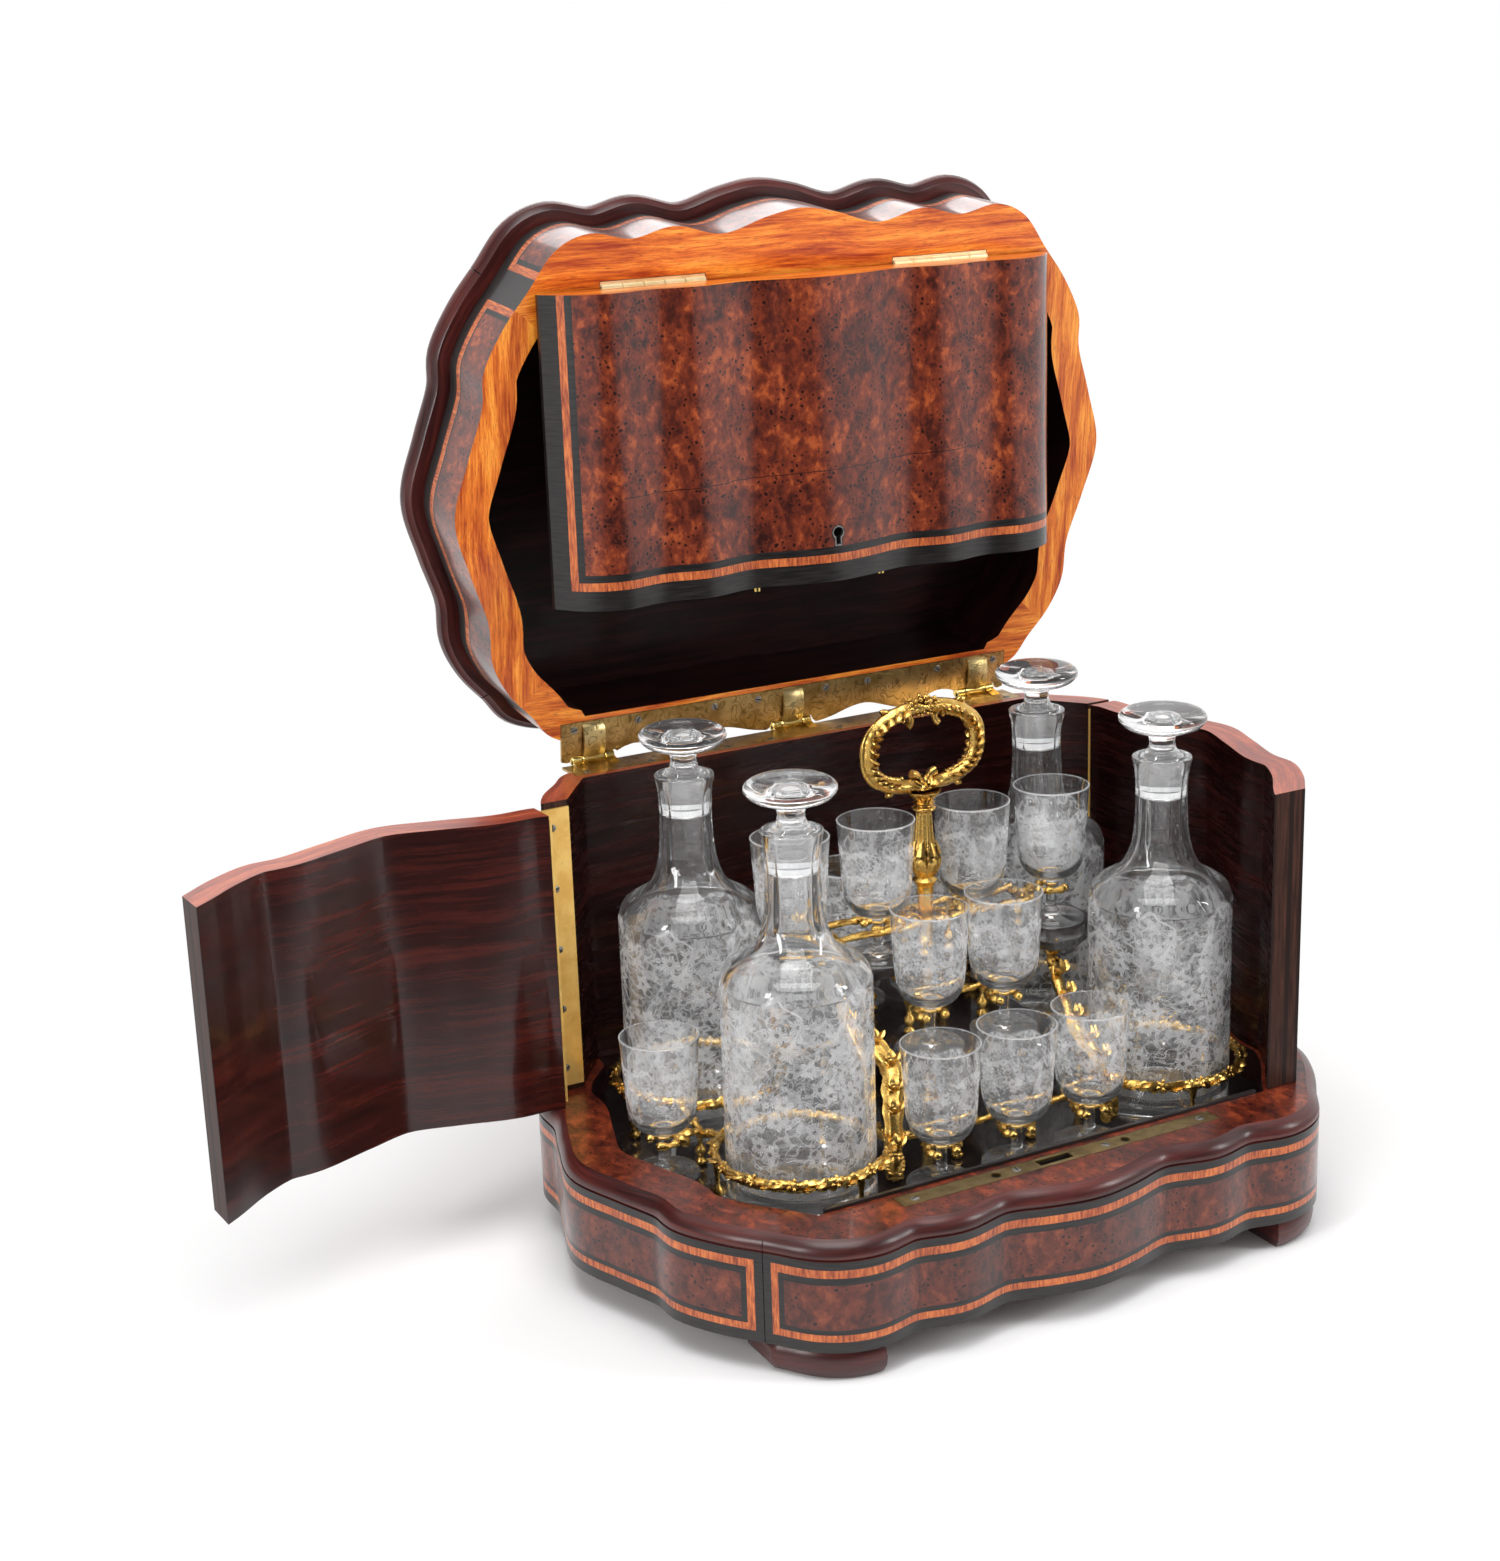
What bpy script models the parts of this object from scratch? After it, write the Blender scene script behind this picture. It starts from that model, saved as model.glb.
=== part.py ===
"""Serpentine liqueur case: a veneered box with two swinging sides, a lifting lid with a folding
front flap, and a lift-out rack that carries decanters and stemmed glasses on three levels.

Metres, +Z up. +X is the case's right side and -Y is its front. The shapes are drawn with the case
shut, about the middle of the shut case, and the pivots then turn them to the pose at rest: lid
back, flap hanging, left door open. Last, all of it moves in plan, so that the origin is the middle
of the open case's box, on the surface that it stands on.
"""

import math

import bmesh
import bpy
from mathutils import Matrix, Vector

for leftover in list(bpy.data.objects):
    bpy.data.objects.remove(leftover, do_unlink=True)

# The wavy outline that the doors, the flap and the lid share.
HALF_WIDTH = 0.1823
FRONT_DEPTH = 0.1333
REAR_DEPTH = 0.1204
KNOT_STEPS = 2

# Quarters of the outline from the side crest to the middle of the front and of the rear.
FRONT_SHARES = (
    (1.0, 0.0), (0.960, 0.206), (0.917, 0.387), (0.910, 0.516), (0.855, 0.658), (0.783, 0.784),
    (0.708, 0.913), (0.613, 0.963), (0.495, 0.935), (0.373, 0.968), (0.236, 0.929),
    (0.104, 0.977), (0.0, 1.0),
)
REAR_SHARES = (
    (1.0, 0.0), (0.960, 0.229), (0.915, 0.429), (0.906, 0.600), (0.863, 0.736), (0.797, 0.850),
    (0.735, 0.955), (0.613, 1.0), (0.495, 0.921), (0.373, 1.0), (0.236, 0.921), (0.104, 0.986),
    (0.0, 1.0),
)

# Running and seating clearance between neighbours.
GAP = 0.0003
WELD = 0.000003
OVERRUN = 0.004

# Heights of the case, from the floor up.
FOOT_HEIGHT = 0.0146
BAND_HEIGHT = 0.0430
MOULDING_HEIGHT = 0.0082
RECESS_DEPTH = 0.0168
WALL_HEIGHT = 0.1472
BAND_TOP = FOOT_HEIGHT + BAND_HEIGHT
LEDGE_TOP = BAND_TOP + MOULDING_HEIGHT
BOARD_TOP = LEDGE_TOP - RECESS_DEPTH
RIM = LEDGE_TOP + WALL_HEIGHT

# Plinth: how far its band stands out of the outline, and its moulding's section.
BAND_OUT = 0.0099
LEDGE_OUT = 0.0047
RECESS_INSET = 0.0163
MOULDING_SHARES = ((0.90, 0.04), (0.98, 0.30), (0.78, 0.76))
FOOT_OUT = 0.0085
FOOT_BREADTH = 0.030
FOOT_INNER_SHARE = 0.60
FOOT_OUTER_SHARE = 0.885

# Walls and doors.
WALL = 0.0146
FLAP_DEPTH = 0.0284
BACK_DEPTH = 0.0155
FRONT_FACE = FRONT_DEPTH - FLAP_DEPTH
BACK_FACE = REAR_DEPTH - BACK_DEPTH
RETURN_INSET = 0.0533
RETURN_CORNER = HALF_WIDTH - RETURN_INSET
HINGE_LINE = 0.0750
DOOR_OPEN = math.radians(87.3)

# Front edge of the ledge.
BEAD = 0.0020
BEAD_HEIGHT = 0.0070
BEAD_RISE = 0.0014
BEAD_END = 0.0040
STRIKE_INSET = 0.0963
STRIKE_HALF = HALF_WIDTH - STRIKE_INSET
STRIKE_DEPTH = 0.0094
STRIKE_THICKNESS = 0.0012
STRIKE_SETBACK = 0.0035
BOLT_SLOT = 0.0180
BOLT_SLOT_WIDTH = 0.0048
POCKET_DEPTH = 0.0080

# Lid: a deep frame closed by a moulded top.
LID_FRAME_HEIGHT = 0.0434
LID_BAND = 0.0170
LID_STEP = 0.0043
LID_STEP_INSET = 0.0020
LID_TOP_THICKNESS = 0.0125
LID_TOP_OUT = 0.0080
LID_TOP_SHARES = ((0.60, 0.04), (1.0, 0.38), (0.72, 0.84))
LID_AXIS_OUT = 0.0086
LID_AXIS_Y = REAR_DEPTH + LID_AXIS_OUT
LID_AXIS_RISE = 0.0020
LID_OPEN = math.radians(84.5)

# Flap, with its lock and its two dowels.
FLAP_INSET = 0.0418
FLAP_HALF = HALF_WIDTH - FLAP_INSET
DOWEL_PLACE = 0.0353
DOWEL_RADIUS = 0.0020
DOWEL_LENGTH = 0.0140
DOWEL_REACH = 0.0040
LOCK_WIDTH = 0.0300
LOCK_HEIGHT = 0.0340
LOCK_DEPTH = 0.0080
LOCK_WALL = 0.0025
BOLT_PLACE = -0.0039
BOLT_WIDTH = 0.0120
BOLT_THICKNESS = 0.0030
BOLT_LENGTH = 0.0200
KEYHOLE_RISE = 0.0240
KEYHOLE_RADIUS = 0.0026
KEYHOLE_TAIL = 0.0060
KEYHOLE_TAIL_WIDTH = 0.0024
KEYHOLE_STEPS = 12
ESCUTCHEON_WALL = 0.0008
ESCUTCHEON_DEPTH = 0.0060

# Hinge leaves of the doors and of the flap.
LEAF = 0.0012
KNUCKLES = 5
DOOR_BARREL = 0.0026
DOOR_LEAF_WIDTH = 0.0140
DOOR_LEAF_INSET = 0.0030
DOOR_AXIS_OUT = 0.0030
FLAP_BARREL = 0.0015
FLAP_LEAF_WIDTH = 0.0090
FLAP_LEAF_INSET = 0.0339
FLAP_LEAF_LENGTH = 0.0546
FLAP_LEAF_FAR = FLAP_HALF - FLAP_LEAF_INSET
FLAP_LEAF_NEAR = FLAP_LEAF_FAR - FLAP_LEAF_LENGTH

# Strap hinge of the lid.
LID_BARREL = 0.0030
LID_LEAF_INSET = 0.0523
LID_LEAF_HALF = HALF_WIDTH - LID_LEAF_INSET
LID_LEAF_SETBACK = 0.0016
LID_LEAF_NEAR = BACK_FACE + LID_LEAF_SETBACK
LID_LEAF_DEPTH = 0.0105
STRAP_INSET = 0.0173
STRAP_PLACES = (STRAP_INSET - LID_LEAF_HALF, 0.0, LID_LEAF_HALF - STRAP_INSET)
STRAP_WIDTH = 0.0120
STRAP_CHEEK = 0.0050

# Rack: base board, two platforms, and the gilt galleries.
BOARD = 0.0040
PLATFORM = 0.0040
MIDDLE_RISE = 0.0482
UPPER_RISE = 0.0826
MIDDLE_PLAN_SHARES = (0.245200, 0.516683)
UPPER_PLAN_SHARES = ((0.510148, 0.133460), (0.373012, 0.285987), (0.296215, 0.285987), (0.246846, 0.157293))
PLATE_CORNER_SHARE = 0.30
ROD = 0.0018
POST = 0.0016
RING_SHARE = 0.217224
RING_ROD = 0.0022
RING_RISE = 0.0220
RING_STEPS = 20
RING_SIDES = 5
RING_POST_SHARES = (0.16, 0.5, 0.84)
BAR_SIDES = 5
LEG_SIDES = 6
FORK_STEPS = 6
FORK_RADIUS = 0.0068
FORK_ROD = 0.0016
FORK_RISE = 0.0168
FORK_ARM_SHARE = 0.104224
FORK_OPENING = math.radians(100.0)
MIDDLE_MATES = 0.0100
CROSS_DROP_SHARE = 0.45
LEG_ROD = 0.0032
# A leg leans from its foot to its knee, and from there to its head.
LEG_LOW_SHARES = ((0.0, 0.0), (0.10, 0.0), (0.42, 0.286), (0.62, 1.0))
LEG_HIGH_SHARES = ((0.82, 0.692), (0.93, 1.0), (1.0, 1.0))
LEG_FOOT_SHARES = (-0.220516, 0.083928)
LEG_KNEE_SHARES = (-0.273725, -0.012617)
LEG_HEAD_SHARES = (0.312671, 0.219256)
COLUMN_SHARE = 0.041141
COLUMN_HOLE_SHARE = 0.62
COLUMN_SIDES = 12
COLUMN_TOP = 0.2107
COLUMN_SHARES = (
    (1.0, 0.0), (1.0, 0.015), (0.55, 0.03), (0.50, 0.55), (0.60, 0.66), (0.95, 0.70),
    (0.98, 0.74), (0.60, 0.80), (0.66, 0.86), (0.52, 0.94), (0.85, 0.965), (0.80, 1.0),
)
LOOP_HALF = 0.0297
LOOP_HEIGHT = 0.0190
LOOP_ROD = 0.0030
LOOP_STEPS = 20

# Glassware.
DECANTER_PLAN_SHARES = (0.550741, 0.493804)
DECANTER_SHARE = 0.188700
DECANTER_HEIGHT = 0.1735
DECANTER_SHARES = (
    (0.0, 0.0), (0.94, 0.0), (1.0, 0.012), (1.0, 0.585), (0.955, 0.630), (0.80, 0.658),
    (0.60, 0.680), (0.475, 0.718), (0.385, 0.790), (0.365, 0.880), (0.41, 1.0),
)
BORE_SHARES = (
    (0.311, 1.0), (0.284, 0.890), (0.275, 0.790), (0.36, 0.715), (0.68, 0.645), (0.89, 0.575),
    (0.89, 0.060), (0.0, 0.045),
)
STOPPER_SHARE = 0.604651
STOPPER_HEIGHT = 0.0234
PLUG_LENGTH = 0.0185
PLUG_TOP_SHARE = 0.302326
PLUG_END_SHARE = 0.273256
STOPPER_SHARES = (
    (0.40, 0.05), (0.32, 0.30), (0.36, 0.50), (0.80, 0.66), (1.0, 0.82), (0.96, 0.92), (0.60, 1.0),
    (0.0, 1.0),
)
GLASS_SHARE = 0.102578
GLASS_HEIGHT = 0.0688
GLASS_SHARES = (
    (0.0, 0.0), (0.87, 0.0), (0.86, 0.022), (0.16, 0.058), (0.135, 0.290), (0.48, 0.335),
    (0.80, 0.430), (1.0, 1.0), (0.94, 1.0), (0.72, 0.440),
    (0.0, 0.365),
)
GLASS_SIDES = 10
BOTTLE_SIDES = 14
STOPPER_SIDES = 12
KNUCKLE_SIDES = 8
DOWEL_SIDES = 12
HOLE_SIDES = 16
SHARP_ANGLE = math.radians(32.0)

# Places of the glasses: x, y and the way that each one slides out of its fork.
CORNER_GLASS_SHARES = (0.226550, 0.738799)
SIDE_GLASS_SHARE = 0.792649
MIDDLE_GLASS_SHARES = (0.113001, 0.347950)
UPPER_GLASS_SHARES = (0.146462, 0.400987)

# The room between the walls: how deep it is to either side of the middle, and how large the
# glassware can be, which goes by the narrower way.
HALF_ROOM = min(FRONT_FACE, BACK_FACE)
PLAN_SHARE = 1.737846
ROOM = min(HALF_WIDTH, HALF_ROOM * PLAN_SHARE)


def in_plan(shares):
    """A place on the rack, from its shares of the case's half width and half depth."""
    return shares[0] * HALF_WIDTH, shares[1] * HALF_ROOM


def beside_decanter(shares):
    """A place given from the middle of a decanter, in shares of the room."""
    return tuple(place + share * ROOM for place, share in zip(DECANTER_PLACE, shares))


DECANTER_PLACE = in_plan(DECANTER_PLAN_SHARES)
DECANTER_RADIUS = DECANTER_SHARE * ROOM
STOPPER_RADIUS = STOPPER_SHARE * DECANTER_RADIUS
PLUG_TOP = PLUG_TOP_SHARE * DECANTER_RADIUS
PLUG_END = PLUG_END_SHARE * DECANTER_RADIUS
GLASS_RADIUS = GLASS_SHARE * ROOM
GLASS_SPACING, GLASS_ROW = in_plan(CORNER_GLASS_SHARES)
SIDE_GLASS = SIDE_GLASS_SHARE * HALF_WIDTH
MIDDLE_GLASS = in_plan(MIDDLE_GLASS_SHARES)
UPPER_GLASSES = tuple(share * HALF_WIDTH for share in UPPER_GLASS_SHARES)
RING_RADIUS = RING_SHARE * ROOM
FORK_ARM = FORK_ARM_SHARE * ROOM
COLUMN_RADIUS = COLUMN_SHARE * ROOM
LEG_FOOT = beside_decanter(LEG_FOOT_SHARES)
LEG_KNEE = beside_decanter(LEG_KNEE_SHARES)
LEG_HEAD = in_plan(LEG_HEAD_SHARES)

ROSEWOOD = ((0.055, 0.012, 0.012, 1.0), 0.28, 0.0)
BURL = ((0.16, 0.035, 0.018, 1.0), 0.25, 0.0)
EBONY = ((0.012, 0.010, 0.009, 1.0), 0.20, 0.0)
BRASS = ((0.55, 0.36, 0.10, 1.0), 0.30, 1.0)
GILT = ((0.85, 0.55, 0.15, 1.0), 0.25, 1.0)
STEEL = ((0.45, 0.44, 0.42, 1.0), 0.35, 1.0)
CRYSTAL = ((0.92, 0.95, 0.96, 0.3), 0.03, 0.0)


def material_for(name, look):
    color, roughness, metallic = look
    made = bpy.data.materials.new(name)
    made.use_nodes = True
    shader = made.node_tree.nodes["Principled BSDF"]
    shader.inputs["Base Color"].default_value = color
    shader.inputs["Roughness"].default_value = roughness
    shader.inputs["Metallic"].default_value = metallic
    shader.inputs["Alpha"].default_value = color[3]
    made.diffuse_color = color
    return made


def mesh_of(name, points, faces):
    mesh = bpy.data.meshes.new(name)
    mesh.from_pydata([tuple(point) for point in points], [], faces)
    shape = bmesh.new()
    shape.from_mesh(mesh)
    bmesh.ops.remove_doubles(shape, verts=shape.verts, dist=WELD)
    bmesh.ops.recalc_face_normals(shape, faces=shape.faces)
    shape.to_mesh(mesh)
    shape.free()
    return mesh


def add(name, mesh, look, pivot=None, smooth=True):
    """One part of the case. Its mesh is drawn in shut-case coordinates, so a part that hangs on
    a pivot is first moved back by the pivot's own shut place."""
    part = bpy.data.objects.new(name, mesh)
    bpy.context.scene.collection.objects.link(part)
    mesh.name = name
    mesh.materials.clear()
    mesh.materials.append(material_for(name, look))
    if pivot is not None:
        mesh.transform(Matrix.Translation(-Vector(pivot["shut_place"])))
        part.parent = pivot
    if smooth:
        mesh.shade_smooth()
        mesh.set_sharp_from_angle(angle=SHARP_ANGLE)
    return part


def pivot_at(name, place, turn=(0.0, 0.0, 0.0), parent=None):
    empty = bpy.data.objects.new(name, None)
    bpy.context.scene.collection.objects.link(empty)
    empty["shut_place"] = tuple(place)
    empty.location = place
    if parent is not None:
        empty.parent = parent
        empty.location = Vector(place) - Vector(parent["shut_place"])
    empty.rotation_euler = turn
    return empty


def combined(mesh, others, operation):
    """The mesh with the others joined to it, or cut from it."""
    base = bpy.data.objects.new("base", mesh)
    tool = bpy.data.objects.new("tool", merged(others))
    for helper in (base, tool):
        bpy.context.scene.collection.objects.link(helper)
    step = base.modifiers.new("combine", "BOOLEAN")
    step.operation = operation
    step.solver = "EXACT"
    step.use_self = True
    step.object = tool
    graph = bpy.context.evaluated_depsgraph_get()
    result = bpy.data.meshes.new_from_object(base.evaluated_get(graph))
    for helper in (base, tool):
        bpy.data.objects.remove(helper, do_unlink=True)
    return result


def merged(meshes):
    shape = bmesh.new()
    for mesh in meshes:
        shape.from_mesh(mesh)
    whole = bpy.data.meshes.new("merged")
    shape.to_mesh(whole)
    shape.free()
    return whole


def union(meshes):
    return combined(meshes[0], meshes[1:], "UNION")


def carved(mesh, cutters):
    return combined(mesh, cutters, "DIFFERENCE")


def loft(loops):
    """A closed skin over loops of the same count, with flat ends."""
    count = len(loops[0])
    points = [point for loop in loops for point in loop]
    faces = [tuple(range(count - 1, -1, -1)), tuple(range(len(points) - count, len(points)))]
    for row in range(len(loops) - 1):
        low, high = row * count, (row + 1) * count
        for i in range(count):
            j = (i + 1) % count
            faces.append((low + i, low + j, high + j, high + i))
    return mesh_of("loft", points, faces)


def at_height(loop, height):
    return [(x, y, height) for x, y in loop]


def prism(loop, bottom, top):
    return loft([at_height(loop, bottom), at_height(loop, top)])


def box(low, high):
    (x0, y0, z0), (x1, y1, z1) = low, high
    return prism([(x0, y0), (x1, y0), (x1, y1), (x0, y1)], z0, z1)


def turned(profile, sides, start=0.0):
    """Turns (radius, height) points about +Z. Points on the axis close the ends."""
    points, rows = [], []
    for radius, height in profile:
        if radius == 0:
            rows.append([len(points)])
            points.append((0.0, 0.0, height))
            continue
        rows.append(list(range(len(points), len(points) + sides)))
        for i in range(sides):
            angle = start + math.tau * i / sides
            points.append((radius * math.cos(angle), radius * math.sin(angle), height))
    faces = []
    for low, high in zip(rows, rows[1:]):
        for i in range(sides):
            j = (i + 1) % sides
            corners = [low[i % len(low)], low[j % len(low)], high[j % len(high)], high[i % len(high)]]
            faces.append(tuple(dict.fromkeys(corners)))
    return mesh_of("turned", points, faces)


def rod(start, end, radius, sides=10):
    start, end = Vector(start), Vector(end)
    length = (end - start).length
    mesh = turned([(0.0, 0.0), (radius, 0.0), (radius, length), (0.0, length)], sides)
    turn = (end - start).to_track_quat("Z", "Y").to_matrix().to_4x4()
    mesh.transform(Matrix.Translation(start) @ turn)
    return mesh


def swept(path, radius, sides=8, closed=False):
    """A bar of round section along a path."""
    path = [Vector(point) for point in path]
    count = len(path)
    rings = []
    side = None
    for i, point in enumerate(path):
        before = path[i - 1] if i or closed else point
        after = path[(i + 1) % count] if i + 1 < count or closed else point
        along = (after - before).normalized()
        if side is None:
            side = along.orthogonal().normalized()
        side = (side - along * side.dot(along)).normalized()
        up = along.cross(side)
        rings.append([
            point + radius * (math.cos(math.tau * k / sides) * side + math.sin(math.tau * k / sides) * up)
            for k in range(sides)
        ])
    if not closed:
        return loft(rings)
    points = [corner for ring in rings for corner in ring]
    faces = []
    for i in range(count):
        low, high = i * sides, ((i + 1) % count) * sides
        for k in range(sides):
            m = (k + 1) % sides
            faces.append((low + k, low + m, high + m, high + k))
    return mesh_of("sweep", points, faces)


def arc(centre, radius, start, end, steps):
    x, y, z = centre
    angles = [start + (end - start) * i / steps for i in range(steps + 1)]
    return [(x + radius * math.cos(a), y + radius * math.sin(a), z) for a in angles]


def knots():
    """Corner points of the outline, counter-clockwise from the right side's crest."""
    rear = [(x * HALF_WIDTH, y * REAR_DEPTH) for x, y in REAR_SHARES]
    front = [(x * HALF_WIDTH, -y * FRONT_DEPTH) for x, y in FRONT_SHARES]
    rear_left = [(-x, y) for x, y in reversed(rear[:-1])]
    front_left = [(-x, y) for x, y in front[1:]]
    front_right = list(reversed(front[1:-1]))
    return rear + rear_left + front_left + front_right


def smooth_loop(corners, steps):
    """A closed curve through the corner points."""
    count = len(corners)
    loop = []
    for i in range(count):
        a, b, c, d = (Vector(corners[(i + k) % count]) for k in (-1, 0, 1, 2))
        for step in range(steps):
            t = step / steps
            loop.append(0.5 * (2 * b + (c - a) * t + (2 * a - 5 * b + 4 * c - d) * t**2
                               + (3 * b - a - 3 * c + d) * t**3))
    return loop


def outline(offset=0.0, steps=KNOT_STEPS):
    """The wavy outline, moved outwards by offset."""
    loop = smooth_loop(knots(), steps)
    moved = []
    for i, point in enumerate(loop):
        along = (loop[(i + 1) % len(loop)] - loop[i - 1]).normalized()
        moved.append((point.x + offset * along.y, point.y - offset * along.x))
    return moved


def cropped(loop, front, rear):
    """The outline with its waves cut straight at the front and rear."""
    return [(x, max(-front, min(rear, y))) for x, y in loop]


def recess_loop(inset, front, rear):
    """The recess in the plinth: straight along the flap, and between the corners of the back wall."""
    loop = cropped(outline(-inset), front, rear)
    return [(x, rear if y > HINGE_LINE and abs(x) < RETURN_CORNER else y) for x, y in loop]


def crossing(a, b, axis, value):
    share = (value - a[axis]) / (b[axis] - a[axis])
    return tuple(a[k] + (b[k] - a[k]) * share for k in (0, 1))


def between(run, axis, low, high):
    """The stretch of a run whose coordinate on the axis lies from low to high."""
    kept = []
    for a, b in zip(run, run[1:]):
        for value in sorted((low, high), reverse=a[axis] > b[axis]):
            if (a[axis] - value) * (b[axis] - value) < 0:
                kept.append(crossing(a, b, axis, value))
        if low < b[axis] < high:
            kept.append(b)
    return kept


def right_run(offset):
    """The right half of the outline, from the front's middle to the rear's."""
    loop = outline(offset)
    quarter = len(loop) // 4
    return loop[-quarter:] + loop[:quarter + 1]


def side_run(offset, low, high):
    """The right side from y = low to y = high, leaving out the waves of the front and rear."""
    return [point for point in between(right_run(offset), 1, low, high) if point[0] > FLAP_HALF / 2]


def mirrored(loop):
    return [(-x, y) for x, y in reversed(loop)]


def width_at(offset, y):
    """Half the outline's width at one depth."""
    return side_run(offset, y - GAP, y + GAP)[0][0]


# Derived places that several parts share.
DOOR_AXIS_X = width_at(0.0, HINGE_LINE) + DOOR_AXIS_OUT
LEAF_SEAT = LEAF + 2 * GAP
DOOR_REAR = HINGE_LINE - LEAF_SEAT
WALL_FRONT = HINGE_LINE + LEAF_SEAT
DOOR_FRONT = -(FRONT_FACE - GAP)
PANEL_BOTTOM = LEDGE_TOP + GAP
STRIKE_REAR = -(FRONT_FACE + STRIKE_SETBACK)
STRIKE_FRONT = STRIKE_REAR - STRIKE_DEPTH
LATCH_LINE = (STRIKE_REAR + STRIKE_FRONT) / 2
FLAP_TOP = RIM - GAP
LID_BOTTOM = RIM + GAP
FLAP_AXIS_Y = -FRONT_FACE + FLAP_BARREL + GAP
FLAP_AXIS_Z = RIM
LID_AXIS_Z = RIM + LID_AXIS_RISE
MIDDLE_TOP = BOARD_TOP + MIDDLE_RISE
UPPER_TOP = BOARD_TOP + UPPER_RISE
KEYHOLE_Z = PANEL_BOTTOM + KEYHOLE_RISE


def plinth():
    outer = [(BAND_OUT, FOOT_HEIGHT), (BAND_OUT, BAND_TOP)]
    outer += [(BAND_OUT * out, BAND_TOP + MOULDING_HEIGHT * up) for out, up in MOULDING_SHARES]
    outer.append((LEDGE_OUT, LEDGE_TOP))
    loops = [at_height(outline(out), height) for out, height in outer]
    recess = recess_loop(RECESS_INSET, FRONT_FACE, BACK_FACE)
    floor = BOARD_TOP - BOARD - GAP
    loops += [at_height(recess, LEDGE_TOP), at_height(recess, floor)]
    body = loft(loops)
    seat = LEDGE_TOP - STRIKE_THICKNESS - GAP
    cutters = [box((-STRIKE_HALF - GAP, STRIKE_FRONT - GAP, seat),
                   (STRIKE_HALF + GAP, STRIKE_REAR + GAP, LEDGE_TOP + OVERRUN))]
    half = BOLT_SLOT / 2
    cutters.append(box((BOLT_PLACE - half, LATCH_LINE - BOLT_SLOT_WIDTH / 2, seat - POCKET_DEPTH),
                       (BOLT_PLACE + half, LATCH_LINE + BOLT_SLOT_WIDTH / 2, LEDGE_TOP)))
    for x in (-DOWEL_PLACE, DOWEL_PLACE):
        cutters.append(rod((x, LATCH_LINE, seat - POCKET_DEPTH), (x, LATCH_LINE, LEDGE_TOP),
                           DOWEL_RADIUS + GAP))
    # The cutters overlap one another, so they are made one before the cut.
    add("plinth", carved(body, [union(cutters)]), BURL)


def feet():
    run = right_run(FOOT_OUT)
    for end, back in (("front", False), ("rear", True)):
        half = run[:len(run) // 2 + 1] if not back else run[len(run) // 2:]
        outer = between(half, 0, FOOT_INNER_SHARE * HALF_WIDTH, FOOT_OUTER_SHARE * HALF_WIDTH)
        outer = [point for point in outer if abs(point[1]) > HINGE_LINE]
        first, last = Vector(outer[0]), Vector(outer[-1])
        inward = Vector((-1.0, -1.0 if back else 1.0)).normalized() * FOOT_BREADTH
        loop = outer + [tuple(last + inward), tuple(first + inward)]
        for side, shape in (("right", loop), ("left", mirrored(loop))):
            add(f"foot_{end}_{side}", prism(shape, 0.0, FOOT_HEIGHT - GAP), ROSEWOOD)


def ledge_fittings():
    top = LEDGE_TOP
    plate = box((-STRIKE_HALF, STRIKE_FRONT, top - STRIKE_THICKNESS), (STRIKE_HALF, STRIKE_REAR, top))
    half = BOLT_SLOT / 2
    low, high = top - STRIKE_THICKNESS - OVERRUN, top + OVERRUN
    holes = [box((BOLT_PLACE - half, LATCH_LINE - BOLT_SLOT_WIDTH / 2, low),
                 (BOLT_PLACE + half, LATCH_LINE + BOLT_SLOT_WIDTH / 2, high))]
    for x in (-DOWEL_PLACE, DOWEL_PLACE):
        holes.append(rod((x, LATCH_LINE, low), (x, LATCH_LINE, high), DOWEL_RADIUS + GAP))
    add("strike_plate", carved(plate, holes), BRASS, smooth=False)
    front = -(FRONT_FACE - GAP)
    half = width_at(-RECESS_INSET, front) - BEAD_END
    add("front_bead", box((-half, front, top + BEAD_RISE - BEAD_HEIGHT),
                          (half, front + BEAD, top + BEAD_RISE)), EBONY, smooth=False)


def back_wall():
    rear_right = right_run(0.0)[len(right_run(0.0)) // 2:]
    start = next(i for i, point in enumerate(rear_right) if point[1] > WALL_FRONT)
    outer = [crossing(rear_right[start - 1], rear_right[start], 1, WALL_FRONT)] + rear_right[start:]
    outer += mirrored(outer)[1:]
    inner_x = width_at(-WALL, WALL_FRONT)
    inner = [(-inner_x, WALL_FRONT), (-RETURN_CORNER, BACK_FACE), (RETURN_CORNER, BACK_FACE),
             (inner_x, WALL_FRONT)]
    wall = prism(outer + inner, PANEL_BOTTOM, RIM)
    seat = box((-LID_LEAF_HALF - GAP, LID_LEAF_NEAR - GAP, RIM - LEAF - GAP),
               (LID_LEAF_HALF + GAP, REAR_DEPTH + OVERRUN, RIM + OVERRUN))
    add("back_wall", carved(wall, [seat]), ROSEWOOD)


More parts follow.
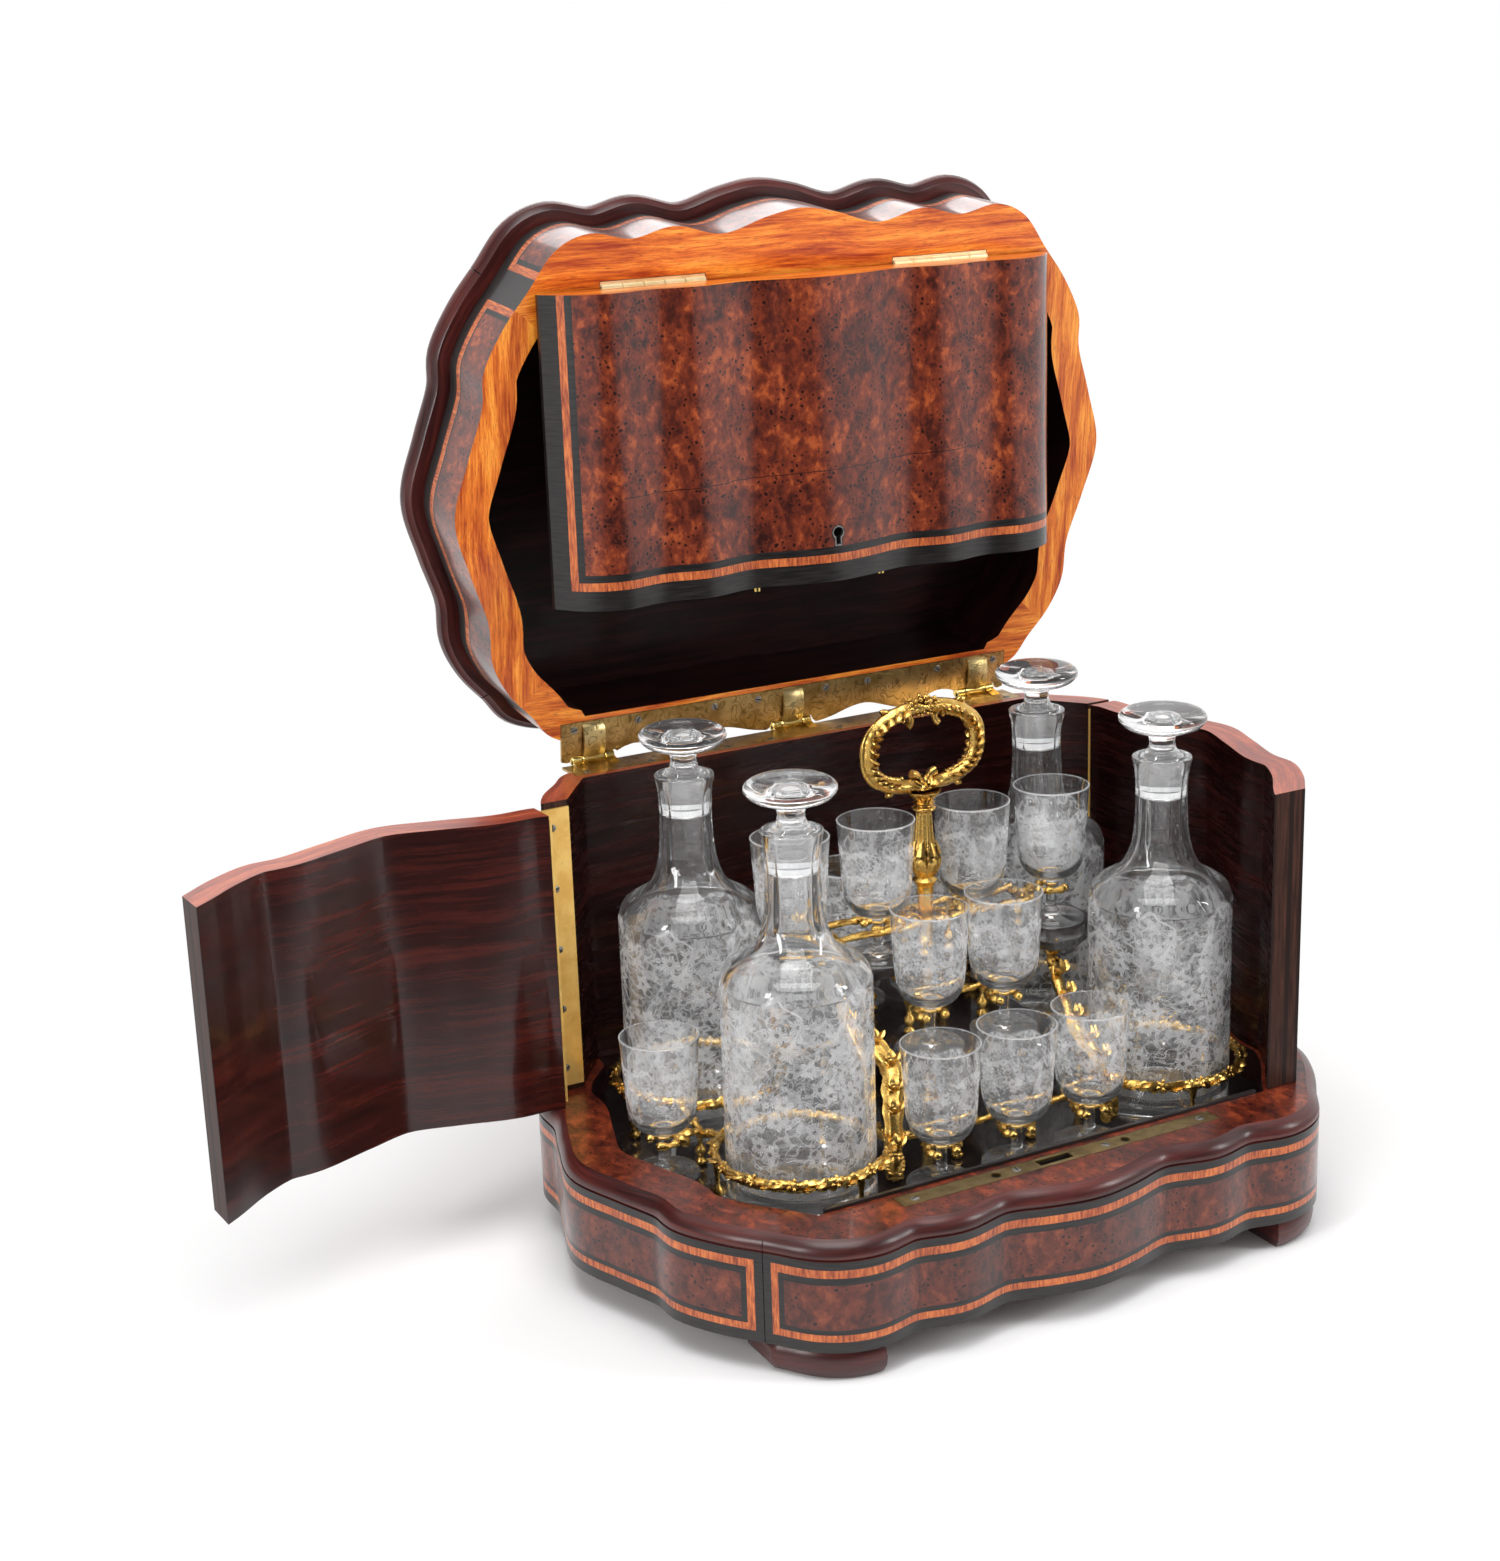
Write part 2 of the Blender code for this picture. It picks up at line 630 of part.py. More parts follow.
def comb_leaf(length, width, barrel, low, high, first):
    """A hinge leaf along +Z: a plate out to +X, and every second knuckle of the barrel.
    low and high are the plate's faces along Y, and first is the first knuckle that it holds."""
    step = length / KNUCKLES
    edge = [(width, 0.0), (width, length)]
    knuckles = []
    for i in reversed(range(KNUCKLES)):
        held = i % 2 == first
        near = 0.0 if held else barrel + GAP
        bottom, top = i * step, (i + 1) * step
        if held:
            bottom, top = bottom + GAP / 2, top - GAP / 2
            knuckles.append(rod((0.0, 0.0, bottom), (0.0, 0.0, top), barrel, KNUCKLE_SIDES))
        else:
            bottom, top = bottom - GAP / 2, top + GAP / 2
        bottom, top = max(bottom, 0.0), min(top, length)
        edge += [(near, top), (near, bottom)]
    edge = list(dict.fromkeys(edge))
    plate = loft([[(x, y, z) for x, z in edge] for y in (high, low)])
    return union([plate] + knuckles)


def doors():
    height = RIM - PANEL_BOTTOM
    outer = side_run(0.0, DOOR_FRONT, DOOR_REAR)
    inner = side_run(-WALL, DOOR_FRONT, DOOR_REAR)
    loop = outer + list(reversed(inner))
    for side, sign, turn in (("left", -1.0, -DOOR_OPEN), ("right", 1.0, 0.0)):
        axis = (sign * DOOR_AXIS_X, HINGE_LINE, PANEL_BOTTOM)
        pivot = pivot_at(f"{side}_door_pivot", axis, (0.0, 0.0, turn))
        shape = loop if sign > 0 else mirrored(loop)
        add(f"{side}_door", prism(shape, PANEL_BOTTOM, RIM), ROSEWOOD, pivot)
        # Each leaf reaches inwards from the axis: the door's leaf lies in front of the wall's.
        length = height - 2 * DOOR_LEAF_INSET
        near, far = GAP / 2, GAP / 2 + LEAF
        for piece, first, low, high in (("wall", 0, near, far), ("door", 1, -far, -near)):
            mesh = comb_leaf(length, DOOR_LEAF_WIDTH + DOOR_AXIS_OUT, DOOR_BARREL, low, high, first)
            mesh.transform(Matrix.Scale(-sign, 4, (1.0, 0.0, 0.0)))
            if sign > 0:
                mesh.flip_normals()
            mesh.transform(Matrix.Translation((axis[0], axis[1], PANEL_BOTTOM + DOOR_LEAF_INSET)))
            add(f"{side}_hinge_{piece}_leaf", mesh, BRASS, pivot if piece == "door" else None)


def lid():
    pivot = pivot_at("lid_pivot", (0.0, LID_AXIS_Y, LID_AXIS_Z), (-LID_OPEN, 0.0, 0.0))
    top = LID_BOTTOM + LID_FRAME_HEIGHT
    inner = cropped(outline(-LID_BAND), FRONT_FACE, BACK_FACE)
    loops = [
        at_height(outline(), LID_BOTTOM),
        at_height(outline(), top - LID_STEP),
        at_height(outline(-LID_STEP_INSET), top - LID_STEP),
        at_height(outline(-LID_STEP_INSET), top),
        at_height(inner, top),
        at_height(inner, LID_BOTTOM),
    ]
    count = len(inner)
    points = [point for loop in loops for point in loop]
    faces = []
    for row in range(len(loops)):
        low, high = row * count, (row + 1) % len(loops) * count
        for i in range(count):
            j = (i + 1) % count
            faces.append((low + i, low + j, high + j, high + i))
    frame = mesh_of("frame", points, faces)
    seats = [box((-LID_LEAF_HALF - GAP, LID_LEAF_NEAR - GAP, LID_BOTTOM - OVERRUN),
                 (LID_LEAF_HALF + GAP, REAR_DEPTH + OVERRUN, LID_BOTTOM + LEAF + GAP))]
    for sign in (-1.0, 1.0):
        ends = sorted((sign * FLAP_LEAF_NEAR, sign * FLAP_LEAF_FAR))
        seats.append(box((ends[0] - GAP, FLAP_AXIS_Y - FLAP_LEAF_WIDTH - GAP, LID_BOTTOM - OVERRUN),
                         (ends[1] + GAP, -FRONT_FACE + OVERRUN, RIM + FLAP_BARREL + 2 * GAP)))
    add("lid_frame", carved(frame, seats), BURL, pivot)
    base = top + GAP
    section = [(-LID_STEP_INSET, base)]
    section += [(LID_TOP_OUT * out, base + LID_TOP_THICKNESS * up) for out, up in LID_TOP_SHARES]
    section.append((-LID_STEP_INSET, base + LID_TOP_THICKNESS))
    add("lid_top", loft([at_height(outline(out), height) for out, height in section]), ROSEWOOD, pivot)
    return pivot


def strap_leaf(plate, arms, direction):
    """One leaf of the lid's hinge: a let-in plate whose arms reach back to the barrel."""
    (low, high) = plate
    pieces = [box(*plate)]
    for start, end in arms:
        pieces.append(box((start, high[1] - OVERRUN, low[2]), (end, LID_AXIS_Y, high[2])))
        pin = [(x, LID_AXIS_Y, LID_AXIS_Z) for x in (start, end)]
        pieces.append(rod(*pin, LID_BARREL, KNUCKLE_SIDES))
        if direction < 0:
            pieces.append(box((start, LID_AXIS_Y - LID_BARREL, low[2]), (end, LID_AXIS_Y, LID_AXIS_Z)))
    return union(pieces)


def lid_hinge(lid_pivot):
    rear = LID_LEAF_NEAR + LID_LEAF_DEPTH
    half = STRAP_WIDTH / 2
    straps = [(x - half, x + half) for x in STRAP_PLACES]
    cheeks = []
    for start, end in straps:
        cheeks += [(start - GAP - STRAP_CHEEK, start - GAP), (end + GAP, end + GAP + STRAP_CHEEK)]
    lid_plate = ((-LID_LEAF_HALF, LID_LEAF_NEAR, LID_BOTTOM), (LID_LEAF_HALF, rear, LID_BOTTOM + LEAF))
    case_plate = ((-LID_LEAF_HALF, LID_LEAF_NEAR, RIM - LEAF), (LID_LEAF_HALF, rear, RIM))
    add("lid_hinge_lid_leaf", strap_leaf(lid_plate, straps, 1), BRASS, lid_pivot)
    add("lid_hinge_case_leaf", strap_leaf(case_plate, cheeks, -1), BRASS)


def keyhole(grow):
    """A keyhole's shape in x and z, grown by a margin: a round head over a narrow tail."""
    radius, half = KEYHOLE_RADIUS + grow, KEYHOLE_TAIL_WIDTH / 2 + grow
    turn = math.asin(half / radius)
    sweep = math.tau - 2 * turn
    angles = [turn - math.pi / 2 + sweep * i / KEYHOLE_STEPS for i in range(KEYHOLE_STEPS + 1)]
    head = [(radius * math.cos(a), radius * math.sin(a)) for a in angles]
    return head + [(-half, -KEYHOLE_TAIL - grow), (half, -KEYHOLE_TAIL - grow)]


def key_prism(grow, front, rear):
    """A bar of the keyhole's shape through the flap, from y = front to y = rear."""
    return loft([[(x, y, KEYHOLE_Z + z) for x, z in keyhole(grow)] for y in (front, rear)])


def flap_cuts():
    """What is cut from the flap's panel: the lock's seat, the keyhole, the dowels' holes and the
    hinges' seats."""
    lock = box((BOLT_PLACE - LOCK_WIDTH / 2 - GAP, LATCH_LINE - LOCK_DEPTH / 2 - GAP, PANEL_BOTTOM - OVERRUN),
               (BOLT_PLACE + LOCK_WIDTH / 2 + GAP, -FRONT_FACE + OVERRUN, PANEL_BOTTOM + LOCK_HEIGHT + GAP))
    cuts = [lock, key_prism(ESCUTCHEON_WALL + GAP, -FRONT_DEPTH - OVERRUN, LATCH_LINE)]
    deep = PANEL_BOTTOM + DOWEL_LENGTH - DOWEL_REACH + GAP
    for sign in (-1.0, 1.0):
        x = sign * DOWEL_PLACE
        cuts.append(rod((x, LATCH_LINE, PANEL_BOTTOM - OVERRUN), (x, LATCH_LINE, deep), DOWEL_RADIUS + GAP))
        start, end = sorted((sign * FLAP_LEAF_NEAR, sign * FLAP_LEAF_FAR))
        cuts.append(box((start - GAP, FLAP_AXIS_Y - FLAP_LEAF_WIDTH - GAP, RIM - FLAP_BARREL - 2 * GAP),
                        (end + GAP, -FRONT_FACE + OVERRUN, RIM + OVERRUN)))
    return cuts


def flap(lid_pivot):
    """The panel with all that rides on it. Returns its pivot."""
    place = (0.0, FLAP_AXIS_Y, FLAP_AXIS_Z)
    pivot = pivot_at("flap_pivot", place, (LID_OPEN, 0.0, 0.0), lid_pivot)
    half = right_run(0.0)[:len(right_run(0.0)) // 2]
    front = mirrored(half)[:-1] + half
    outer = [point for point in between(front, 0, -FLAP_HALF, FLAP_HALF) if point[1] < -FRONT_FACE]
    loop = outer + [(outer[-1][0], -FRONT_FACE), (outer[0][0], -FRONT_FACE)]
    panel = prism(list(dict.fromkeys(loop)), PANEL_BOTTOM, FLAP_TOP)
    add("front_flap", carved(panel, [union(flap_cuts())]), BURL, pivot)
    # Keyhole liner, flush with the middle crest.
    ring = key_prism(ESCUTCHEON_WALL, -FRONT_DEPTH, ESCUTCHEON_DEPTH - FRONT_DEPTH)
    hole = key_prism(0.0, -FRONT_DEPTH - OVERRUN, ESCUTCHEON_DEPTH - FRONT_DEPTH + OVERRUN)
    add("escutcheon", carved(ring, [hole]), BRASS, pivot)
    return pivot


def lock(pivot):
    """The lock's case and bolt, let in from the flap's back and lower edge."""
    front, rear = LATCH_LINE - LOCK_DEPTH / 2, LATCH_LINE + LOCK_DEPTH / 2
    case = box((BOLT_PLACE - LOCK_WIDTH / 2, front, PANEL_BOTTOM),
               (BOLT_PLACE + LOCK_WIDTH / 2, rear, PANEL_BOTTOM + LOCK_HEIGHT))
    bolt_low = (BOLT_PLACE - BOLT_WIDTH / 2, LATCH_LINE - BOLT_THICKNESS / 2, PANEL_BOTTOM)
    bolt_high = (BOLT_PLACE + BOLT_WIDTH / 2, LATCH_LINE + BOLT_THICKNESS / 2, PANEL_BOTTOM + BOLT_LENGTH)
    slot = box((bolt_low[0] - GAP, bolt_low[1] - GAP, PANEL_BOTTOM - OVERRUN),
               tuple(value + GAP for value in bolt_high))
    keyway = rod((0.0, front - OVERRUN, KEYHOLE_Z), (0.0, front + LOCK_WALL, KEYHOLE_Z), KEYHOLE_RADIUS)
    add("lock_case", carved(case, [slot, keyway]), BRASS, pivot, smooth=False)
    add("lock_bolt", box(bolt_low, bolt_high), STEEL, pivot, smooth=False)


def dowels(pivot):
    low, high = PANEL_BOTTOM - DOWEL_REACH, PANEL_BOTTOM - DOWEL_REACH + DOWEL_LENGTH
    for side, x in (("left", -DOWEL_PLACE), ("right", DOWEL_PLACE)):
        pin = rod((x, LATCH_LINE, low), (x, LATCH_LINE, high), DOWEL_RADIUS, DOWEL_SIDES)
        add(f"dowel_{side}", pin, BRASS, pivot)


def flap_hinges(pivot, lid_pivot):
    """Two hinges, each with a leaf on the flap and one on the lid."""
    # A leaf's own +Z lies along the case's +X, and its +X towards the front.
    turn = Matrix(((0.0, 0.0, 1.0), (-1.0, 0.0, 0.0), (0.0, -1.0, 0.0))).to_4x4()
    near, far = GAP / 2, GAP / 2 + LEAF
    for side, sign in (("left", -1.0), ("right", 1.0)):
        start = min(sign * FLAP_LEAF_NEAR, sign * FLAP_LEAF_FAR)
        leaves = (("lid", 0, -far, -near, lid_pivot), ("flap", 1, near, far, pivot))
        for piece, first, low, high, hold in leaves:
            mesh = comb_leaf(FLAP_LEAF_LENGTH, FLAP_LEAF_WIDTH, FLAP_BARREL, low, high, first)
            mesh.transform(Matrix.Translation((start, FLAP_AXIS_Y, FLAP_AXIS_Z)) @ turn)
            add(f"flap_hinge_{side}_{piece}_leaf", mesh, BRASS, hold)


def cut_corners(half_x, half_y):
    """A plate's outline with its corners cut back."""
    cut = PLATE_CORNER_SHARE * min(half_x, half_y)
    right = [(half_x, -half_y + cut), (half_x, half_y - cut), (half_x - cut, half_y)]
    left = [(-half_x + cut, half_y), (-half_x, half_y - cut), (-half_x, -half_y + cut)]
    return right + left + [(-half_x + cut, -half_y), (half_x - cut, -half_y)]


def plates():
    board = recess_loop(RECESS_INSET + GAP, FRONT_FACE - BEAD - 2 * GAP, BACK_FACE - GAP)
    add("rack_board", prism(board, BOARD_TOP - BOARD, BOARD_TOP), EBONY, RACK)
    hole = rod((0.0, 0.0, BOARD_TOP), (0.0, 0.0, RIM), COLUMN_RADIUS * COLUMN_HOLE_SHARE + GAP, HOLE_SIDES)
    middle = prism(cut_corners(*in_plan(MIDDLE_PLAN_SHARES)), MIDDLE_TOP - PLATFORM, MIDDLE_TOP)
    add("middle_platform", carved(middle, [hole]), EBONY, RACK)
    quarter = [in_plan(shares) for shares in UPPER_PLAN_SHARES]
    half = [(x, -y) for x, y in reversed(quarter)] + quarter
    upper = prism(half + [(-x, -y) for x, y in half], UPPER_TOP - PLATFORM, UPPER_TOP)
    add("upper_platform", carved(upper, [hole]), EBONY, RACK)


def fork(place, base, direction):
    """An open fork round a glass's stem, with the arm that carries it."""
    x, y = place
    height = base + FORK_RISE
    dx, dy = direction
    heading = math.atan2(dy, dx)
    path = arc((x, y, height), FORK_RADIUS, heading + FORK_OPENING / 2,
               heading + math.tau - FORK_OPENING / 2, FORK_STEPS)
    back = (x - dx * FORK_ARM, y - dy * FORK_ARM, height)
    inner = (x - dx * FORK_RADIUS, y - dy * FORK_RADIUS, height)
    return [swept(path, FORK_ROD, BAR_SIDES), rod(inner, back, FORK_ROD, BAR_SIDES)]


def footed_post(x, y, base, rise):
    return [rod((x, y, base + GAP), (x, y, base + rise), POST, BAR_SIDES)]


def ring(sx, sy):
    """A decanter's ring on its three posts."""
    x, y = sx * DECANTER_PLACE[0], sy * DECANTER_PLACE[1]
    path = arc((x, y, BOARD_TOP + RING_RISE), RING_RADIUS, 0.0, math.tau, RING_STEPS)[:-1]
    pieces = [swept(path, RING_ROD, RING_SIDES, closed=True)]
    for share in RING_POST_SHARES:
        angle = math.atan2(sy, sx) + math.tau * share
        pieces += footed_post(x + RING_RADIUS * math.cos(angle), y + RING_RADIUS * math.sin(angle),
                              BOARD_TOP, RING_RISE)
    return pieces


def bars(path):
    return [rod(start, end, ROD, BAR_SIDES) for start, end in zip(path, path[1:])]


def row_of_forks(sy):
    """Three forks at the front or rear, on a bar that joins the two rings beside it."""
    low, high = BOARD_TOP + FORK_RISE, BOARD_TOP + RING_RISE
    bar = GLASS_ROW - FORK_ARM
    reach = DECANTER_PLACE[0] - math.sqrt(RING_RADIUS**2 - (bar - DECANTER_PLACE[1]) ** 2)
    pieces = bars([(-reach, sy * bar, high), (-GLASS_SPACING, sy * bar, low), (GLASS_SPACING, sy * bar, low),
                   (reach, sy * bar, high)])
    for x in (-GLASS_SPACING, 0.0, GLASS_SPACING):
        pieces += fork((x, sy * GLASS_ROW), BOARD_TOP, (0.0, sy))
    for x in (-GLASS_SPACING / 2, GLASS_SPACING / 2):
        pieces += footed_post(x, sy * bar, BOARD_TOP, FORK_RISE)
    return pieces


def side_fork(sx):
    """The fork between the two rings of one side."""
    low, high = BOARD_TOP + FORK_RISE, BOARD_TOP + RING_RISE
    x = SIDE_GLASS - FORK_ARM
    near = DECANTER_PLACE[1] - math.sqrt(RING_RADIUS**2 - (x - DECANTER_PLACE[0]) ** 2)
    pieces = bars([(sx * x, -near, high), (sx * x, 0.0, low), (sx * x, near, high)])
    pieces += fork((sx * SIDE_GLASS, 0.0), BOARD_TOP, (sx, 0.0))
    return pieces + footed_post(sx * x, 0.0, BOARD_TOP, FORK_RISE)


def lower_gallery():
    pieces = []
    for sx in (-1.0, 1.0):
        pieces += ring(sx, -1.0) + ring(sx, 1.0) + side_fork(sx)
    for sy in (-1.0, 1.0):
        pieces += row_of_forks(sy)
    add("lower_gallery", union(pieces + scroll_legs()), GILT, RACK)


def scroll_legs():
    """Four bowed legs, from the base board past the middle platform's corners to the upper one."""
    bottom, top = BOARD_TOP + GAP, UPPER_TOP - PLATFORM - GAP
    path = []
    for start, end, shares in ((LEG_FOOT, LEG_KNEE, LEG_LOW_SHARES), (LEG_KNEE, LEG_HEAD, LEG_HIGH_SHARES)):
        for up, lean in shares:
            x, y = (a + (b - a) * lean for a, b in zip(start, end))
            path.append((x, y, bottom + (top - bottom) * up))
    return [swept([(sx * x, sy * y, z) for x, y, z in path], LEG_ROD, LEG_SIDES)
            for sx in (-1.0, 1.0) for sy in (-1.0, 1.0)]


def upper_galleries():
    gx, gy = MIDDLE_GLASS
    bar = gy - FORK_ARM
    height = MIDDLE_TOP + FORK_RISE
    drop = height - CROSS_DROP_SHARE * ROD
    pieces = []
    for sy in (-1.0, 1.0):
        pieces.append(rod((-gx - ROD, sy * bar, height), (gx + ROD, sy * bar, height), ROD, BAR_SIDES))
        cross = sy * MIDDLE_MATES
        pieces.append(rod((cross, -bar - POST, drop), (cross, bar + POST, drop), ROD, BAR_SIDES))
        for sx in (-1.0, 1.0):
            pieces += fork((sx * gx, sy * gy), MIDDLE_TOP, (0.0, sy))
            pieces += footed_post(sx * gx, sy * bar, MIDDLE_TOP, FORK_RISE)
    add("middle_gallery", union(pieces), GILT, RACK)
    near, far = UPPER_GLASSES
    height = UPPER_TOP + FORK_RISE
    drop = height - CROSS_DROP_SHARE * ROD
    pieces = []
    for sx in (-1.0, 1.0):
        inner, outer = near - FORK_ARM, far - FORK_ARM
        for x in (inner, outer):
            pieces.append(rod((sx * x, -MIDDLE_MATES - POST, drop), (sx * x, MIDDLE_MATES + POST, drop),
                              ROD, BAR_SIDES))
        for x, y in ((inner, MIDDLE_MATES), (inner, -MIDDLE_MATES), (outer, 0.0)):
            pieces += footed_post(sx * x, y, UPPER_TOP, FORK_RISE)
        for x in (near, far):
            pieces += fork((sx * x, 0.0), UPPER_TOP, (sx, 0.0))
    for y in (-MIDDLE_MATES, MIDDLE_MATES):
        reach = far - FORK_ARM + ROD
        pieces.append(rod((-reach, y, height), (reach, y, height), ROD, BAR_SIDES))
    add("upper_gallery", union(pieces), GILT, RACK)


def handle():
    foot = BOARD_TOP + GAP
    height = COLUMN_TOP - GAP - foot
    profile = [(0.0, foot)] + [(COLUMN_RADIUS * out, foot + height * up) for out, up in COLUMN_SHARES]
    add("handle_column", turned(profile + [(0.0, COLUMN_TOP - GAP)], COLUMN_SIDES), GILT, RACK)
    centre = COLUMN_TOP + LOOP_HEIGHT + LOOP_ROD
    angles = [math.tau * i / LOOP_STEPS for i in range(LOOP_STEPS)]
    path = [(LOOP_HALF * math.cos(a), 0.0, centre + LOOP_HEIGHT * math.sin(a)) for a in angles]
    add("handle_loop", swept(path, LOOP_ROD, LEG_SIDES, closed=True), GILT, RACK)


def glassware():
    bottle = [(DECANTER_RADIUS * out, DECANTER_HEIGHT * up) for out, up in DECANTER_SHARES + BORE_SHARES]
    stopper = [(0.0, -PLUG_LENGTH), (PLUG_END, -PLUG_LENGTH), (PLUG_TOP, -GAP)]
    stopper += [(STOPPER_RADIUS * out, STOPPER_HEIGHT * up) for out, up in STOPPER_SHARES]
    glass = [(GLASS_RADIUS * out, GLASS_HEIGHT * up) for out, up in GLASS_SHARES]
    x, y = DECANTER_PLACE
    for end, sy in (("front", -1.0), ("rear", 1.0)):
        for side, sx in (("left", -1.0), ("right", 1.0)):
            base = pivot_at(f"decanter_{end}_{side}_base", (sx * x, sy * y, BOARD_TOP + GAP), parent=RACK)
            mouth = pivot_at(f"decanter_{end}_{side}_mouth",
                             (sx * x, sy * y, BOARD_TOP + GAP + DECANTER_HEIGHT), parent=base)
            for name, profile, sides, hold in (("decanter", bottle, BOTTLE_SIDES, base),
                                               ("stopper", stopper, STOPPER_SIDES, mouth)):
                mesh = turned(profile, sides)
                mesh.transform(Matrix.Translation(hold["shut_place"]))
                add(f"{name}_{end}_{side}", mesh, CRYSTAL, hold)
    for name, place in glass_places().items():
        base = pivot_at(f"{name}_base", place, parent=RACK)
        mesh = turned(glass, GLASS_SIDES)
        mesh.transform(Matrix.Translation(place))
        add(name, mesh, CRYSTAL, base)


def glass_places():
    places = {}
    for i, x in enumerate((-GLASS_SPACING, 0.0, GLASS_SPACING)):
        places[f"glass_front_{i + 1}"] = (x, -GLASS_ROW, BOARD_TOP + GAP)
        places[f"glass_rear_{i + 1}"] = (x, GLASS_ROW, BOARD_TOP + GAP)
    for side, sx in (("left", -1.0), ("right", 1.0)):
        places[f"glass_side_{side}"] = (sx * SIDE_GLASS, 0.0, BOARD_TOP + GAP)
        for end, sy in (("front", -1.0), ("rear", 1.0)):
            x, y = MIDDLE_GLASS
            places[f"glass_middle_{end}_{side}"] = (sx * x, sy * y, MIDDLE_TOP + GAP)
        for row, x in zip(("inner", "outer"), UPPER_GLASSES):
            places[f"glass_upper_{row}_{side}"] = (sx * x, 0.0, UPPER_TOP + GAP)
    return places


def centre_in_plan():
    """Moves all of it, so that the origin is the middle of the open case's box in plan."""
    bpy.context.view_layer.update()
    parts = [part for part in bpy.data.objects if part.type == "MESH"]
    corners = [part.matrix_world @ vertex.co for part in parts for vertex in part.data.vertices]
    middle = [(min(c[axis] for c in corners) + max(c[axis] for c in corners)) / 2 for axis in (0, 1)]
    for part in bpy.data.objects:
        if part.parent is None:
            part.location -= Vector((middle[0], middle[1], 0.0))


plinth()
feet()
ledge_fittings()
back_wall()
doors()
LID = lid()
lid_hinge(LID)
FLAP = flap(LID)
lock(FLAP)
dowels(FLAP)
flap_hinges(FLAP, LID)
RACK = pivot_at("rack_lift", (0.0, 0.0, BOARD_TOP - BOARD))
plates()
lower_gallery()
upper_galleries()
handle()
glassware()
centre_in_plan()
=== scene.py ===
"""Looks of the serpentine liqueur case: its veneers, brass mountings, gilt castings and crystal.

The pieces are drawn as the source draws them, with the case shut and about the middle of the shut
case. Each is then turned to rest with the part that carries it, and moved to the frame's origin.
"""

import math
from bisect import bisect_right

import bmesh
import bpy
from mathutils import Matrix, Vector, noise


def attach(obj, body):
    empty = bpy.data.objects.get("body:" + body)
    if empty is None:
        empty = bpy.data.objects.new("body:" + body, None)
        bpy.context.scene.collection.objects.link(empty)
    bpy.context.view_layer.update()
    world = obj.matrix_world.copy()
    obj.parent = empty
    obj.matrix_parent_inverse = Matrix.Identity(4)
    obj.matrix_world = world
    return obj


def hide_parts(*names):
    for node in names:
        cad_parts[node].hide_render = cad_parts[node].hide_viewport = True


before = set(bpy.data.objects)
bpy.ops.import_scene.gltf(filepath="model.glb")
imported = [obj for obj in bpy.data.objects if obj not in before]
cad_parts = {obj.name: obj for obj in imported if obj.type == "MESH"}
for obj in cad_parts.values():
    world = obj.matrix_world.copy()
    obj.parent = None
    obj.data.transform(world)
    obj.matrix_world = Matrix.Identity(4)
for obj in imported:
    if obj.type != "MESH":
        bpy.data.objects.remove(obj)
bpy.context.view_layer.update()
MM = 0.001

# Sizes that the source also has, in metres.
HALF_WIDTH, FRONT_DEPTH, REAR_DEPTH = 0.1823, 0.1333, 0.1204
FRONT_SHARES = (
    (1.0, 0.0), (0.960, 0.206), (0.917, 0.387), (0.910, 0.516), (0.855, 0.658), (0.783, 0.784),
    (0.708, 0.913), (0.613, 0.963), (0.495, 0.935), (0.373, 0.968), (0.236, 0.929),
    (0.104, 0.977), (0.0, 1.0),
)
REAR_SHARES = (
    (1.0, 0.0), (0.960, 0.229), (0.915, 0.429), (0.906, 0.600), (0.863, 0.736), (0.797, 0.850),
    (0.735, 0.955), (0.613, 1.0), (0.495, 0.921), (0.373, 1.0), (0.236, 0.921), (0.104, 0.986),
    (0.0, 1.0),
)
GAP = 0.0003
FOOT_TOP, BAND_TOP, LEDGE_TOP, BOARD_TOP, RIM = 0.0146, 0.0576, 0.0658, 0.0490, 0.2130
BAND_OUT, LEDGE_OUT, RECESS_INSET, BOARD = 0.0099, 0.0047, 0.0163, 0.0043
WALL, FACE, RETURN_CORNER, HINGE_LINE, HINGE_LEAF = 0.0146, 0.1049, 0.1290, 0.0750, 0.0018
PANEL_BOTTOM = LEDGE_TOP + GAP
LID_HEIGHT = 0.0434
LID_BOTTOM, LID_TOP_BASE = RIM + GAP, RIM + 2 * GAP + LID_HEIGHT
LID_BAND, LID_STEP, LID_STEP_INSET, LID_TOP_THICKNESS = 0.0170, 0.0043, 0.0020, 0.0125
LID_AXIS = (0.0, 0.1290, 0.2150)
LID_OPEN, DOOR_OPEN = math.radians(84.5), math.radians(87.3)
FLAP_HALF = 0.1405
FLAP_DROP = (0.0, 0.207863, 0.23284)
DOOR_AXIS = (0.16723, 0.0750, 0.0)
MIDDLE_TOP, UPPER_TOP = 0.0972, 0.1316
RING_RADIUS, RING_RISE = 0.0396, 0.0220
FORK_RISE, FORK_RADIUS, FORK_ARM = 0.0168, 0.0068, 0.0190
DECANTER_PLACE = (0.1004, 0.0518)
DECANTER_RADIUS, DECANTER_HEIGHT = 0.0344, 0.1735
STOPPER_RADIUS, STOPPER_HEIGHT = 0.0208, 0.0234
GLASS_RADIUS, GLASS_HEIGHT = 0.0187, 0.0688
SIDE_GLASS_X, ROW_PITCH, ROW_Y = 0.1445, 0.0413, 0.0775
MIDDLE_GLASS, UPPER_GLASSES = (0.0206, 0.0365), (0.0267, 0.0731)
MAIN_HINGE_HALF, PLATE = 0.1300, 0.0012
FLAP_HINGE_NEAR, FLAP_HINGE_FAR = 0.0520, 0.1066
